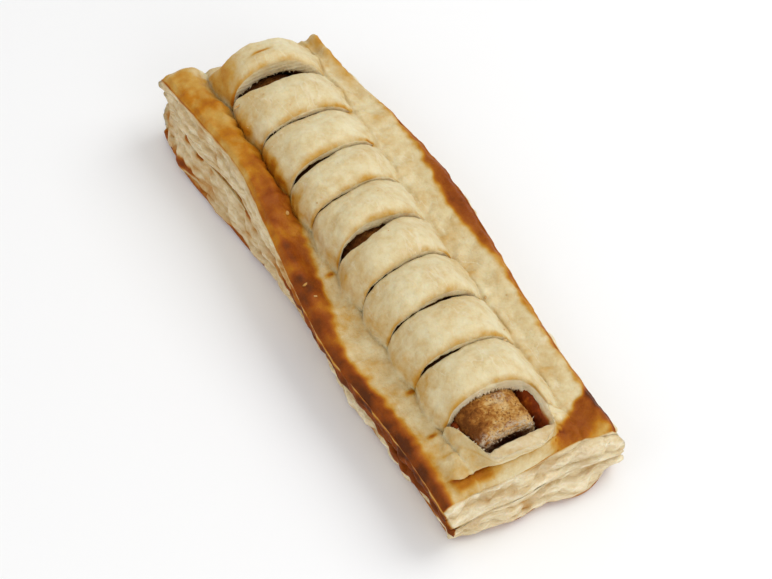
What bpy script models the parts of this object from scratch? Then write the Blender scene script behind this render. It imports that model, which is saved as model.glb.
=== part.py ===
"""Lattice sausage roll: a flat pastry base, a sausage in its trough, and a slit pastry lid.

Lengths inside the shape functions are millimetres. Y runs along the roll, from the end with
the torn window (-Y) to the end with the wide cap (+Y). X runs across it and Z is up.
"""

import bmesh
import bpy
import numpy as np

MM = 0.001
GAP = 0.3                     # clearance between the two pastry sheets
ARCH_GAP = 0.48               # clearance round the sausage, in the lid and in the base
TROUGH_GAP = 0.42
CENTRE_X = 0.59               # middle of the finished outline, which becomes the origin
CENTRE_Y = -1.0

# Ends of the roll, at the top crust, and how they bow: how far, where across, over what width.
NEAR_END_Y = -85.2
FAR_END_LEFT_Y = 86.6
FAR_END_RIGHT_Y = 80.0
NEAR_END_BOWS = ((0.9, -0.6, 0.25), (1.7, 0.35, 0.4))
FAR_END_BOW = (0.8, 0.1, 0.5)
ENDS_REACH = 3.0              # the lower half of the near end stands out this far
FAR_REACH = 0.8

# Outlines seen from above: a straight edge, then bulges as (how far, middle Y, spread).
LEFT_EDGE_X = -26.2
RIGHT_EDGE_X = 27.0
LID_LEFT_BULGES = ((-3.0, -22, 28), (2.6, 42, 20), (-1.8, 88, 18))
LID_RIGHT_BULGES = ((4.3, 8, 42), (-5.3, 80, 23))
BASE_LEFT_INSET = 2.6
BASE_LEFT_BULGES = ((-2.0, -32, 22), (-7.2, 67, 25), (-2.6, 32, 18), (-1.8, 85, 8))
BASE_RIGHT_INSET = -1.0
BASE_RIGHT_BULGES = ((1.8, -88, 14), (-0.8, -35, 20), (1.4, 70, 16))
SEAM_LEFT_INSET = 1.0
SEAM_LEFT_BULGES = ((2.2, 88, 9),)
SEAM_RIGHT_INSET = -0.6
DOME_LEFT_X = -14.9
DOME_RIGHT_X = 17.2

# Heights of the crust: a height at the near end, then climbs as (how much, from Y, to Y).
EDGE_Z = 18.5
LEFT_EDGE_CLIMBS = ((8.0, -38, 45),)
LEFT_EDGE_BULGES = ((-0.8, 88, 10),)
RIGHT_EDGE_CLIMBS = ((2.6, -70, 20), (4.6, 56, 82))
FOOT_Z = 18.0
FOOT_CLIMBS = ((4.2, -25, 50),)
CROWN_Z = 32.2
CROWN_CLIMBS = ((1.6, 10, 70),)
SEAM_Z = 9.5
SEAM_CLIMBS = ((2.5, -30, 50),)

# The sausage, a rounded bar a little wider than it is high.
SAUSAGE_X = -1.0
SAUSAGE_Z = 16.6
SAUSAGE_HALF_WIDTH = 10.7
SAUSAGE_HALF_HEIGHT = 10.2
SAUSAGE_SQUARENESS = 2.35
SAUSAGE_NEAR_Y = -77.4
SAUSAGE_FAR_Y = 70.5
SAUSAGE_END_ROUNDING = 3.0
NARROWING = 2.4               # the near end is this much narrower on its right side
NARROWING_FROM_Y = -68
NARROWING_TO_Y = -58
TROUGH_MARGIN = 1.3           # the hollow round the sausage runs on past its ends
TROUGH_FADE = 1.4
TROUGH_ANGLE = 127            # where the base leaves the sausage, in degrees from the top
ARCH_ANGLE = 88               # where the lid leaves it

# Each cut across the lid, from the near end: where its left and right ends lie, how far it
# gapes, where across the dome it gapes most (-1 left foot, +1 right foot), over what share of
# the width, and how high its far lip is lifted. The first one is the torn window.
CUTS = (
    # left y, right y, gape, middle, spread, lift
    (-64.3, -75.5, 0.0, 0.0, 1.0, -0.6),
    (-48.6, -48.6, 0.9, -0.45, 0.5, 0.7),
    (-32.6, -31.2, 1.1, 0.2, 0.5, 0.9),
    (-17.6, -14.0, 0.3, 0.2, 0.6, 0.5),
    (-2.6, 1.8, 3.8, -0.45, 0.5, 1.4),
    (13.6, 16.8, 0.3, -0.2, 0.6, 0.5),
    (27.2, 32.6, 1.6, -0.5, 0.5, 0.9),
    (46.0, 46.6, 0.8, -0.1, 0.7, 0.4),
    (65.6, 64.6, 4.8, -0.15, 0.8, 2.2),
)
GAPE_LEAST = 0.22             # share of its gape that a cut keeps away from its widest place

# The window, torn open at the last slash.
WINDOW_LEFT_W = -0.94
WINDOW_RIGHT_W = 2.0 / 3.0
WINDOW_FAR_GAPE = 8.0
WINDOW_CORNER = 16             # how square the far rim turns down at the right
WINDOW_NEAR_GAPE = 16.6
WINDOW_LEFT_TURN = 0.22       # share of the window in which its left side meets the front rim
WINDOW_WALL_Y = -79.3         # the inner wall in front of the sausage
TEAR_LEFT_U = (-0.82, -0.68)
TEAR_RIGHT_U = (0.12, 0.5)
CREASE_Y = -79.8
CREASE_LEFT_BEND = (-2.6, -0.47, -0.16)
CREASE_RIGHT_BEND = (4.4, 0.14, 0.42)
CREASE_RISE = 2.3
CREASE_RISE_BEND = (2.3, -0.47, -0.16)
CREASE_SHARE = 0.28           # where the crease lies between the near end and the rim
FLAP_SHARE = 0.42             # where the torn lip above it begins
CREASE_OVERHANG = 1.2
OVERHANG_END_U = (0.05, 0.3)    # across the sheet, where that overhang runs out
FLAP_THICKNESS = 1.0
FRONT_ROLL = (0.9, 0.12, 0.07)
CREASE_DIP = (-0.5, 0.28, 0.03)
FRONT_RIM_Z = 26.8
FRONT_FACE_SHARE = 0.35       # share of the depth taken by the sloping cut face
FRONT_FACE_REACH = 0.92
FRONT_FACE_DROP = 0.9

# The bands between the cuts.
BAND_LENGTH = 14.5
LIP_DIP = 1.6                 # rounding of a band along its near lip
LIP_ROUND = 2.6
LIP_OVERHANG = 1.0
LIP_FACE = 2.0                # height of the cut face below the lip
LIP_FACE_PER_GAPE = 0.5
WINDOW_FACE = 4.6
CAP_FACE_LEFT = 1.25          # the cap's face is taller at the left than at the right
CAP_FACE_LEAN = -0.4
LIP_RECESS = 0.3
UNDERCUT = 3.5                # how far the hollow under a lip reaches in beneath the band
FACE_GAP = 0.15               # the hollow's roof stays this far above the sausage's arch
TUCK_LEAN = 1.4               # how far a band's far edge sinks below its crown
TUCK_DIP = 3.0
TUCK_ROUND = 4.0
CROWN_PUFF = 0.8
CAP_END_SHARE = (0.55, 0.86)
LEFT_STEEPNESS = (2.7, 0.60)  # powers of the arch on the left, and on the right
RIGHT_STEEPNESS = (2.6, 1.0)
LEFT_SCALLOP = -1.7           # each band bulges over the border, more on the left
RIGHT_SCALLOP = 0.9
LEFT_PINCH = 0.8
RIGHT_PINCH = 0.5
PINCH_LENGTH = 0.11
RIGHT_FILL = (1.0, 0.52, 0.11)
LEFT_CREASE = (-0.6, -0.505, 0.018)

# The borders beside the bands.
BROAD_FROM_Y = -5             # the left border broadens into a ridge between these two
BROAD_TO_Y = 35
NEAR_RIDGE = (0.35, 0.8)
FAR_RIDGE = (-0.05, 0.42)
RIGHT_RIDGE = (0.1, 0.8)
DISH = (0.7, 0.3, 0.25)
EDGE_ROLL = 1.3
EDGE_ROLL_FROM = 0.86
FAR_ROLL = 1.2
NEAR_ROLL = 0.8
ROLL_ROWS = 0.12

# Cut sides of the two sheets, which puff out in waves.
PUFF = 0.9
PUFF_WAVES = 0.7
BASE_RIM_RISE = 1.1
BASE_CORNER_PULL = 2.2
BASE_NEAR_REACH = 1.2
BASE_NEAR_BOWS = ((-2.4, -0.3, 0.35), (-5.2, 0.45, 0.36))
BASE_FAR_REACH = 0.6

# Fineness of the meshes.
BORDER_PLACES = (-1.0, -0.965, -0.9, -0.78, -0.63)
DOME_COLUMNS = 12
WINDOW_COLUMN = -0.375        # one column more, at the steep left side of the window
BAND_ROWS = (0.0, 0.12, 0.35, 0.62, 0.84)
LEDGE_ROWS = (0.0, 0.12, 0.28, 0.42, 0.55, 0.67, 0.78, 0.9)
CAP_ROWS = (0.0, 0.1, 0.28, 0.45, 0.6, 0.74, 0.87)
WALL_RINGS = 3
BASE_COLUMNS = 14
BASE_TROUGH_ROWS = 26
BASE_END_FADE = 9.0
SAUSAGE_SIDES = 24
SAUSAGE_RINGS = 22


def swell(value, middle, spread):
    """A soft hump, one at the middle and fading on both sides."""
    return np.exp(-(((value - middle) / spread) ** 2))


def ramp(value, start, end):
    """Nought before the start, one past the end, and a smooth step between."""
    share = np.clip((value - start) / (end - start), 0.0, 1.0)
    return share * share * (3.0 - 2.0 * share)


def mix(first, second, share):
    return first + (second - first) * share


def bulged(value, bulges):
    """The sum of several humps, each given as (size, middle, spread)."""
    return sum(size * swell(value, middle, spread) for size, middle, spread in bulges)


def climbed(value, climbs):
    """The sum of several smooth steps, each given as (size, start, end)."""
    return sum(size * ramp(value, start, end) for size, start, end in climbs)


def lid_left_x(y):
    return LEFT_EDGE_X + bulged(y, LID_LEFT_BULGES)


def lid_right_x(y):
    return RIGHT_EDGE_X + bulged(y, LID_RIGHT_BULGES)


def base_left_x(y):
    return LEFT_EDGE_X + BASE_LEFT_INSET + bulged(y, BASE_LEFT_BULGES)


def base_right_x(y):
    return lid_right_x(y) + BASE_RIGHT_INSET + bulged(y, BASE_RIGHT_BULGES)


def seam_left_x(y):
    middle = 0.5 * (lid_left_x(y) + base_left_x(y))
    return middle + SEAM_LEFT_INSET + bulged(y, SEAM_LEFT_BULGES)


def seam_right_x(y):
    return 0.5 * (lid_right_x(y) + base_right_x(y)) + SEAM_RIGHT_INSET


def seam_z(y):
    return SEAM_Z + climbed(y, SEAM_CLIMBS)


def left_edge_z(y):
    return EDGE_Z + climbed(y, LEFT_EDGE_CLIMBS) + bulged(y, LEFT_EDGE_BULGES)


def right_edge_z(y):
    return EDGE_Z + climbed(y, RIGHT_EDGE_CLIMBS)


def foot_z(y):
    """Height of the groove where the bands meet the flat borders."""
    return FOOT_Z + climbed(y, FOOT_CLIMBS)


def crown_z(y):
    return CROWN_Z + climbed(y, CROWN_CLIMBS)


def far_end_y(across):
    return mix(FAR_END_LEFT_Y, FAR_END_RIGHT_Y, (across + 1) / 2) + bulged(across, (FAR_END_BOW,))


def near_end_y(across):
    return NEAR_END_Y + bulged(across, NEAR_END_BOWS)


def line_y(number, u):
    """The Y of a cut line, or of an end, at any place across the sheet."""
    if number == 0:
        return near_end_y(u)
    if number == len(CUTS) + 1:
        return far_end_y(u)
    left, right = CUTS[number - 1][:2]
    return mix(left, right, (np.clip(2 * u, -1.2, 1.2) + 1) / 2)


def sheet_y(u, v):
    """Rows follow the cut lines, which are the whole numbers of v."""
    y = np.zeros_like(u)
    for number in range(len(CUTS) + 1):
        inside = (v >= number) & (v <= number + 1)
        y = np.where(inside, mix(line_y(number, u), line_y(number + 1, u), v - number), y)
    return y


def opening_shape(number, w):
    """How far open a cut is across the dome, from 0 at its ends to 1."""
    ends = np.sqrt(np.clip(1 - w * w, 0, 1))
    middle, spread = CUTS[number][3:5]
    return ends * mix(GAPE_LEAST, 1.0, swell(w, middle, spread))


def window_share(u):
    """How far across the window, from nought at its left corner to one at its right."""
    return np.clip((2 * u - WINDOW_LEFT_W) / (WINDOW_RIGHT_W - WINDOW_LEFT_W), 0, 1)


def window_far_y(u):
    """The window's far rim: bulging away from the near end, then turning down at the right."""
    share = window_share(u)
    bulge = (1 - (1 - share) ** 2) * np.sqrt(1 - share**WINDOW_CORNER)
    return line_y(1, u) + WINDOW_FAR_GAPE * bulge


def window_near_y(u):
    """The window's near rim: straight down the left, then round the front to the right."""
    share = window_share(u)
    down_left = ramp(share, -0.01, WINDOW_LEFT_TURN)
    return line_y(1, u) - WINDOW_NEAR_GAPE * down_left * np.sqrt(1 - share**3.5)


def crease_y(u):
    """Y of the crease in front of the window, where the front roll meets the torn lip."""
    return CREASE_Y + climbed(u, (CREASE_LEFT_BEND, CREASE_RIGHT_BEND))


def crease_rise(u):
    return CREASE_RISE + climbed(u, (CREASE_RISE_BEND,))


def front_tear(u):
    """Where, across the near end, the pastry in front of the window has torn and lifted."""
    return ramp(u, *TEAR_LEFT_U) * (1 - ramp(u, *TEAR_RIGHT_U))


def dome_profile(w):
    """The bands' arch: steep on the left, running out gently on the right."""
    left, right = (
        np.clip(1 - np.abs(w) ** inner, 0, 1) ** outer for inner, outer in (LEFT_STEEPNESS, RIGHT_STEEPNESS)
    )
    return np.where(w < 0, left, right)


def band_place(v, side):
    """Which band a point is on, and how far along it from its near edge to its far edge."""
    band = np.clip(np.floor(v), 0, len(CUTS))
    share = v - band
    behind = (share == 0) & (side < 0) & (v > 0)
    return np.where(behind, band - 1, band), np.where(behind, 1.0, share)


def opened_y(u, v, side):
    """The Y of the lid's upper crust, with its cuts parted and its window torn open."""
    w = np.clip(2 * u, -1, 1)
    y = sheet_y(u, v)
    band, share = band_place(v, side)
    for number, cut in enumerate(CUTS[1:], 1):
        open_by = 0.5 * cut[2] * opening_shape(number, w)
        y = np.where(band == number + 1, y + open_by * (1 - share) ** 1.5, y)
        y = np.where(band == number, y - open_by * share**1.5, y)
    y = np.where(band == 1, y + (window_far_y(u) - line_y(1, u)) * (1 - share) ** 1.5, y)
    torn = (band == 0) * front_tear(u)
    rim_y = window_near_y(u)
    from_crease = np.clip((share - FLAP_SHARE) / (1 - FLAP_SHARE), 0, 1)
    torn_y = mix(near_end_y(u), crease_y(u), np.clip(share / CREASE_SHARE, 0, 1) ** 2)
    overhang = CREASE_OVERHANG * (1 - ramp(u, *OVERHANG_END_U))
    torn_y = torn_y - overhang * ramp(share, CREASE_SHARE, FLAP_SHARE)
    torn_y = mix(torn_y, rim_y, from_crease)
    return np.where(band == 0, mix(mix(near_end_y(u), rim_y, share), torn_y, torn), y)


def border_z(u, y):
    """Height of the borders beside the bands, and of the groove at the bands' feet."""
    inner_left = np.clip(-2 * u, 1, 2) - 1
    inner_right = np.clip(2 * u, 1, 2) - 1
    foot = foot_z(y)
    broad = ramp(y, BROAD_FROM_Y, BROAD_TO_Y)
    ridge_left = mix(ramp(inner_left, *NEAR_RIDGE), ramp(inner_left, *FAR_RIDGE), broad)
    ridge_right = ramp(inner_right, *RIGHT_RIDGE)
    dish = bulged(inner_left, (DISH,)) * (1 - broad) * (inner_left > 0)
    edge_roll = EDGE_ROLL * (ramp(inner_left, EDGE_ROLL_FROM, 1.0) + ramp(inner_right, EDGE_ROLL_FROM, 1.0))
    left_rise = (left_edge_z(y) - foot) * ridge_left
    right_rise = (right_edge_z(y) - foot) * ridge_right
    return foot + left_rise + right_rise - dish - edge_roll + bulged(u, (RIGHT_FILL, LEFT_CREASE))


def band_rise(u, y, band, share):
    """How far the crust of a band, or of the cap, stands above the groove at its foot."""
    w = np.clip(2 * u, -1, 1)
    holds = 1 - np.abs(w) ** 4
    is_cap = band == len(CUTS)
    rounded = np.clip(1 - (1 - share) * BAND_LENGTH / TUCK_ROUND, 0, 1)
    tuck = -TUCK_LEAN * ramp(share, 0.4, 1.0) - TUCK_DIP * (1 - np.sqrt(1 - rounded**2))
    puff = CROWN_PUFF * np.sin(np.pi * np.clip(share / 0.85, 0, 1))
    towards_lip = np.clip(1 - share * BAND_LENGTH / LIP_ROUND, 0, 1)
    lip = -LIP_DIP * (1 - np.sqrt(1 - towards_lip**2))
    lift = np.zeros_like(y)
    for number, cut in enumerate(CUTS):
        raised = cut[5] * swell(w, cut[3], cut[4] + 0.3) * (1 - ramp(share, 0.0, 0.8))
        lift = np.where(band == number + 1, raised, lift)
    cap_end = np.where(is_cap, 1 - ramp(share, *CAP_END_SHARE), 1.0)
    rise = crown_z(y) - foot_z(y)
    return rise * dome_profile(w) * cap_end + (np.where(is_cap, 0, tuck + puff) + lip + lift) * holds


def ledge_rise(u, y, share):
    """How far the pastry in front of the window stands above the groove: roll, crease and lip."""
    w = np.clip(2 * u, -1, 1)
    torn = front_tear(u)
    crest = dome_profile(w)
    closed_rise = (crown_z(y) - foot_z(y)) * crest - LIP_DIP * (1 - np.abs(w) ** 4)
    rim_rise = mix(closed_rise, (FRONT_RIM_Z - foot_z(y)) * crest, torn)
    front = crease_rise(u) * ramp(share, 0.06, CREASE_SHARE)
    flap = mix(crease_rise(u) + FLAP_THICKNESS, rim_rise, ramp(share, FLAP_SHARE, 1.0))
    torn_rise = mix(front, flap, ramp(share, CREASE_SHARE, FLAP_SHARE))
    torn_rise = torn_rise + bulged(share, (FRONT_ROLL, CREASE_DIP))
    return mix(rim_rise * ramp(share, 0.2, 0.95), torn_rise, torn)


def lid_top(u, v, side):
    """The lid's upper crust."""
    w = np.clip(2 * u, -1, 1)
    band, share = band_place(v, side)
    y = opened_y(u, v, side)
    x_left = mix(DOME_LEFT_X, lid_left_x(y), np.clip(-2 * u, 1, 2) - 1)
    x_right = mix(DOME_RIGHT_X, lid_right_x(y), np.clip(2 * u, 1, 2) - 1)
    x_dome = mix(DOME_LEFT_X, DOME_RIGHT_X, (w + 1) / 2)
    x = np.where(u < -0.5, x_left, np.where(u > 0.5, x_right, x_dome))
    z = border_z(u, y) + np.where(band == 0, ledge_rise(u, y, share), band_rise(u, y, band, share))

    on_band = (band > 0) & (np.abs(w) < 1)
    towards_lip = np.clip(1 - share * BAND_LENGTH / LIP_ROUND, 0, 1)
    y = y - LIP_OVERHANG * on_band * (1 - np.abs(w) ** 4) ** 4 * towards_lip**2
    scallop = np.sin(np.pi * share) - 0.5
    sides = bulged(u, ((RIGHT_SCALLOP, 0.5, 0.06), (LEFT_SCALLOP, -0.5, 0.07)))
    x = x + (band > 0) * scallop * sides
    pinch = swell(share, 0.0, PINCH_LENGTH) + swell(share, 1.0, PINCH_LENGTH)
    z = z - (band > 0) * pinch * bulged(u, ((LEFT_PINCH, -0.49, 0.035), (RIGHT_PINCH, 0.47, 0.05)))
    last = len(CUTS) + 1
    far_roll = FAR_ROLL * ramp(v, last - ROLL_ROWS, last)
    near_roll = NEAR_ROLL * (1 - ramp(v, 0.0, ROLL_ROWS))
    return x, y, z - far_roll - near_roll


def sausage_section(angle, grow):
    """A point round the sausage's section: angle 0 is the top, positive towards +X."""
    power = 2.0 / SAUSAGE_SQUARENESS
    sine, cosine = np.sin(angle), np.cos(angle)
    x = SAUSAGE_X + (SAUSAGE_HALF_WIDTH + grow) * np.sign(sine) * np.abs(sine) ** power
    z = SAUSAGE_Z + (SAUSAGE_HALF_HEIGHT + grow) * np.sign(cosine) * np.abs(cosine) ** power
    return x, z


def arch_z(x):
    """Height of the lid's arched underside over the sausage, at any place across."""
    share = np.clip(np.abs(x - SAUSAGE_X) / (SAUSAGE_HALF_WIDTH + ARCH_GAP), 0, 1)
    rise = (1 - share**SAUSAGE_SQUARENESS) ** (1 / SAUSAGE_SQUARENESS)
    return SAUSAGE_Z + (SAUSAGE_HALF_HEIGHT + ARCH_GAP) * rise


def trough_share(y):
    """One along the sausage, falling to nought past its two ends."""
    near = SAUSAGE_NEAR_Y - TROUGH_MARGIN
    far = SAUSAGE_FAR_Y + TROUGH_MARGIN
    return ramp(y, near - TROUGH_FADE, near) * (1 - ramp(y, far, far + TROUGH_FADE))


def lid_under(u, v, side):
    """The lid's underside: round the upper part of the sausage, then flat along the seam."""
    y = lid_top(u, v, side)[1]
    band, share = band_place(v, side)
    behind_rim = np.maximum(window_near_y(u), WINDOW_WALL_Y)
    y = np.where(band == 0, mix(near_end_y(u) - ENDS_REACH, behind_rim, share), y)
    w = 2 * u
    seam = seam_z(y) + GAP
    x_arch, z_arch = sausage_section(np.clip(w, -1, 1) * np.radians(ARCH_ANGLE), ARCH_GAP)
    x_side, z_side = sausage_section(np.sign(w) * np.radians(90), ARCH_GAP)
    edge = np.clip(np.abs(w) - 1, 0, 1)
    seam_left, seam_right = seam_left_x(y), seam_right_x(y)
    x_seam = np.where(w < 0, seam_left, seam_right)
    x_flat = mix(x_side, x_seam, mix(edge, ramp(edge, 0.0, 1.0), 0.3))
    z_flat = mix(z_side, seam, ramp(edge, 0.0, 0.22))
    x = np.where(np.abs(w) <= 1, x_arch, x_flat)
    z = np.where(np.abs(w) <= 1, z_arch, z_flat)
    held = np.where(band == len(CUTS), (share < 0.5) * 1.0, trough_share(y))
    x = mix(mix(seam_left, seam_right, (u + 1) / 2), x, held)
    lipped = (band > 0) * (np.abs(w) < 1) * (1 - np.clip(w, -1, 1) ** 4)
    return x, y + (LIP_RECESS + UNDERCUT) * lipped * (1 - share) ** 3, mix(seam, z, held)


def ripple(a, b):
    """Uneven puffing of the cut layers, from a few waves that never repeat together."""
    waves = np.sin(0.61 * a + 1.3 * b + 0.4) + np.sin(0.23 * a - 2.1 * b + 1.9)
    return 0.5 * waves + 0.4 * np.sin(1.27 * a + 3.3 * b)


def puffed(along, depth):
    """How far a cut side stands out between its upper and its lower edge."""
    bulge = np.sin(np.pi * depth) * (depth > 0) * (depth < 1)
    return bulge * (PUFF + PUFF_WAVES * ripple(along, 4 * depth))


def place_lid(u, v, depth, side):
    """Any point of the lid: its sheet, its outer sides, and the walls of its cuts."""
    top, under = lid_top(u, v, side), lid_under(u, v, side)
    x, y, z = (mix(upper, lower, depth) for upper, lower in zip(top, under))
    x = x + (np.abs(u) > 0.999) * np.sign(u) * puffed(y, depth)
    y = y + ((v > len(CUTS) + 0.999) * 1.0 - (v < 0.001) * 1.0) * puffed(x, depth)
    y_top, z_top, y_under, z_under = top[1], top[2], under[1], under[2]
    w = np.clip(2 * u, -1, 1)
    holds = 1 - w**4
    share = window_share(u)
    is_wall = (depth > 0) & (depth < 1)

    lip = is_wall & (side > 0) & (v > 0.5)
    down = np.clip(depth / 0.5, 0, 1)
    inward = np.clip((depth - 0.5) / 0.25, 0, 1)
    rest = np.clip((depth - 0.75) / 0.25, 0, 1)
    gapes = np.array([cut[2] for cut in CUTS])[np.clip(v.astype(int) - 1, 0, len(CUTS) - 1)]
    window_face = WINDOW_FACE * (0.25 + 0.75 * np.sqrt(1 - share**6))
    band_face = (LIP_FACE + LIP_FACE_PER_GAPE * gapes) * mix(0.1, 1.0, holds)
    band_face = band_face * np.where(v == len(CUTS), CAP_FACE_LEFT + CAP_FACE_LEAN * w, 1.0)
    face = np.where(v == 1, window_face, band_face)
    face_z = np.maximum(z_top - face * down, np.maximum(z_under, arch_z(x) + FACE_GAP))
    lip_y = y_top + holds * (LIP_RECESS * down + UNDERCUT * inward)
    window_formed = ramp(share, 0.0, 0.03) * (1 - ramp(share, 0.9, 1.0))
    formed = np.where(v == 1, window_formed, 1 - w**8)
    y = np.where(lip, mix(y, lip_y, formed), y)
    z = np.where(lip, mix(z, mix(face_z, z_under, rest), formed), z)

    front = is_wall & (side < 0) & (v == 1)
    over = np.clip(depth / FRONT_FACE_SHARE, 0, 1)
    fall = np.clip((depth - FRONT_FACE_SHARE) / (1 - FRONT_FACE_SHARE), 0, 1)
    face_y = mix(y_top, y_under, FRONT_FACE_REACH * over)
    face_z = z_top - FRONT_FACE_DROP * over
    y = np.where(front, mix(y, mix(face_y, y_under, fall), formed), y)
    z = np.where(front, mix(z, mix(face_z, z_under, fall), formed), z)
    return x, y, z


def base_rows():
    """Y of each row of the base: closest together where the trough starts and stops."""
    near = SAUSAGE_NEAR_Y - TROUGH_MARGIN
    far = SAUSAGE_FAR_Y + TROUGH_MARGIN
    inner = [mix(near, far, row / BASE_TROUGH_ROWS) for row in range(BASE_TROUGH_ROWS + 1)]
    before = [NEAR_END_Y, NEAR_END_Y + 1.2, near - TROUGH_FADE - 1.8, near - TROUGH_FADE]
    end = 0.5 * (FAR_END_LEFT_Y + FAR_END_RIGHT_Y)
    after = [far + TROUGH_FADE, far + TROUGH_FADE + 4.0, end - 1.2, end]
    return before + inner + after


def base_y(row, near, far):
    """Rows run straight across the trough and bend to the shape of the two ends."""
    end = 0.5 * (FAR_END_LEFT_Y + FAR_END_RIGHT_Y)
    near_pull = 1 - ramp(row, NEAR_END_Y, NEAR_END_Y + BASE_END_FADE)
    far_pull = ramp(row, end - BASE_END_FADE, end)
    return row + (near - NEAR_END_Y) * near_pull + (far - end) * far_pull


def base_top(u, row):
    """The base's upper face: flat along the seam, and a trough under the sausage."""
    y = base_y(row, near_end_y(u) - ENDS_REACH, far_end_y(u) + FAR_REACH)
    seam_left, seam_right, seam = seam_left_x(y), seam_right_x(y), seam_z(y)
    angle = np.pi - np.clip(2 * u, -1, 1) * np.radians(180 - TROUGH_ANGLE)
    x_arc, z_arc = sausage_section(angle, TROUGH_GAP)
    x_rim = sausage_section(np.sign(u) * np.radians(TROUGH_ANGLE), TROUGH_GAP)[0]
    edge = np.clip(2 * np.abs(u) - 1, 0, 1)
    x_flat = mix(x_rim, np.where(u < 0, seam_left, seam_right), edge)
    in_trough = np.abs(u) <= 0.5
    x = np.where(in_trough, x_arc, x_flat)
    z = np.where(in_trough, np.minimum(z_arc, seam), seam)
    held = trough_share(y)
    return mix(mix(seam_left, seam_right, (u + 1) / 2), x, held), y, mix(seam, z, held)


def base_under(u, row):
    """The base's underside: flat, with its rim a little raised and drawn in."""
    corner = ramp(np.abs(u), 0.55, 1.0) ** 2
    near = near_end_y(u) - BASE_NEAR_REACH + bulged(u, BASE_NEAR_BOWS) + BASE_CORNER_PULL * corner
    far = far_end_y(u) + BASE_FAR_REACH - BASE_CORNER_PULL * corner
    y = base_y(row, near, far)
    x = mix(base_left_x(y), base_right_x(y), (u + 1) / 2)
    end = np.maximum(ramp(y, far - 1.5, far), 1 - ramp(y, near, near + 1.5))
    return x, y, BASE_RIM_RISE * np.maximum(ramp(np.abs(u), 0.9, 1.0), end)


def place_base(u, row, depth, side):
    rows = base_rows()
    x, y, z = (mix(upper, lower, depth) for upper, lower in zip(base_top(u, row), base_under(u, row)))
    x = x + (np.abs(u) > 0.999) * np.sign(u) * puffed(y + 9, depth)
    ends = (row > rows[-1] - 0.01) * 1.0 - (row < rows[0] + 0.01) * 1.0
    return x, y + ends * puffed(x + 5, depth), z


def place_sausage(a, b, c, side):
    """A unit tube bent to the bar's section, with both ends rounded and the near one narrowed."""
    y = mix(SAUSAGE_NEAR_Y, SAUSAGE_FAR_Y, (np.sin(c * np.pi / 2) + 1) / 2)
    from_end = np.minimum(y - SAUSAGE_NEAR_Y, SAUSAGE_FAR_Y - y)
    turn = np.clip(1 - from_end / SAUSAGE_END_ROUNDING, 0, 1)
    shrink = SAUSAGE_END_ROUNDING * (1 - np.sqrt(np.clip(1 - turn * turn, 0, 1)))
    x, z = sausage_section(np.arctan2(a, b), -shrink)
    from_middle = np.maximum(x - SAUSAGE_X, 0) / SAUSAGE_HALF_WIDTH
    narrowed = NARROWING * (1 - ramp(y, NARROWING_FROM_Y, NARROWING_TO_Y)) * from_middle
    return x - narrowed, y, z


def new_sheet(columns, rows):
    """A flat grid whose vertices hold their place across in X and along in Y."""
    sheet = bmesh.new()
    bmesh.ops.create_grid(sheet, x_segments=len(columns) - 1, y_segments=len(rows) - 1, size=1.0)
    for vertex in sheet.verts:
        column = round((vertex.co.x + 1) / 2 * (len(columns) - 1))
        row = round((vertex.co.y + 1) / 2 * (len(rows) - 1))
        vertex.co = (columns[column], rows[row], 0.0)
    return sheet


def is_upright(edge):
    return abs(edge.verts[0].co.z - edge.verts[1].co.z) > 0.5


def thicken(sheet):
    """Doubles the sheet, closes its rim and its cuts with walls, and rings those walls.

    The Z of each vertex is then its depth: 0 on the upper face and 1 on the lower.
    """
    made = bmesh.ops.extrude_face_region(sheet, geom=sheet.faces[:])
    for piece in made["geom"]:
        if isinstance(piece, bmesh.types.BMVert):
            piece.co.z = 1.0
    upright = [edge for edge in sheet.edges if is_upright(edge)]
    bmesh.ops.subdivide_edges(sheet, edges=upright, cuts=WALL_RINGS)


def slash(sheet):
    """Parts the sheet along its cuts, and marks each side of a cut as near (-1) or far (1)."""
    cut_edges = []
    for edge in sheet.edges:
        first, second = edge.verts
        level = first.co.y == second.co.y
        on_cut = level and first.co.y % 1 == 0 and 0 < first.co.y < len(CUTS) + 1
        last = WINDOW_RIGHT_W / 2 if first.co.y == 1 else 0.5
        within = min(first.co.x, second.co.x) > -0.501 and max(first.co.x, second.co.x) < last + 0.001
        if on_cut and within:
            cut_edges.append(edge)
    side_layer = sheet.verts.layers.float.new("side")
    bmesh.ops.split_edges(sheet, edges=cut_edges)
    for vertex in sheet.verts:
        beyond = [face.calc_center_median().y > vertex.co.y for face in vertex.link_faces]
        if vertex.is_boundary and len(set(beyond)) == 1:
            vertex[side_layer] = 1.0 if beyond[0] else -1.0


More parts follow.
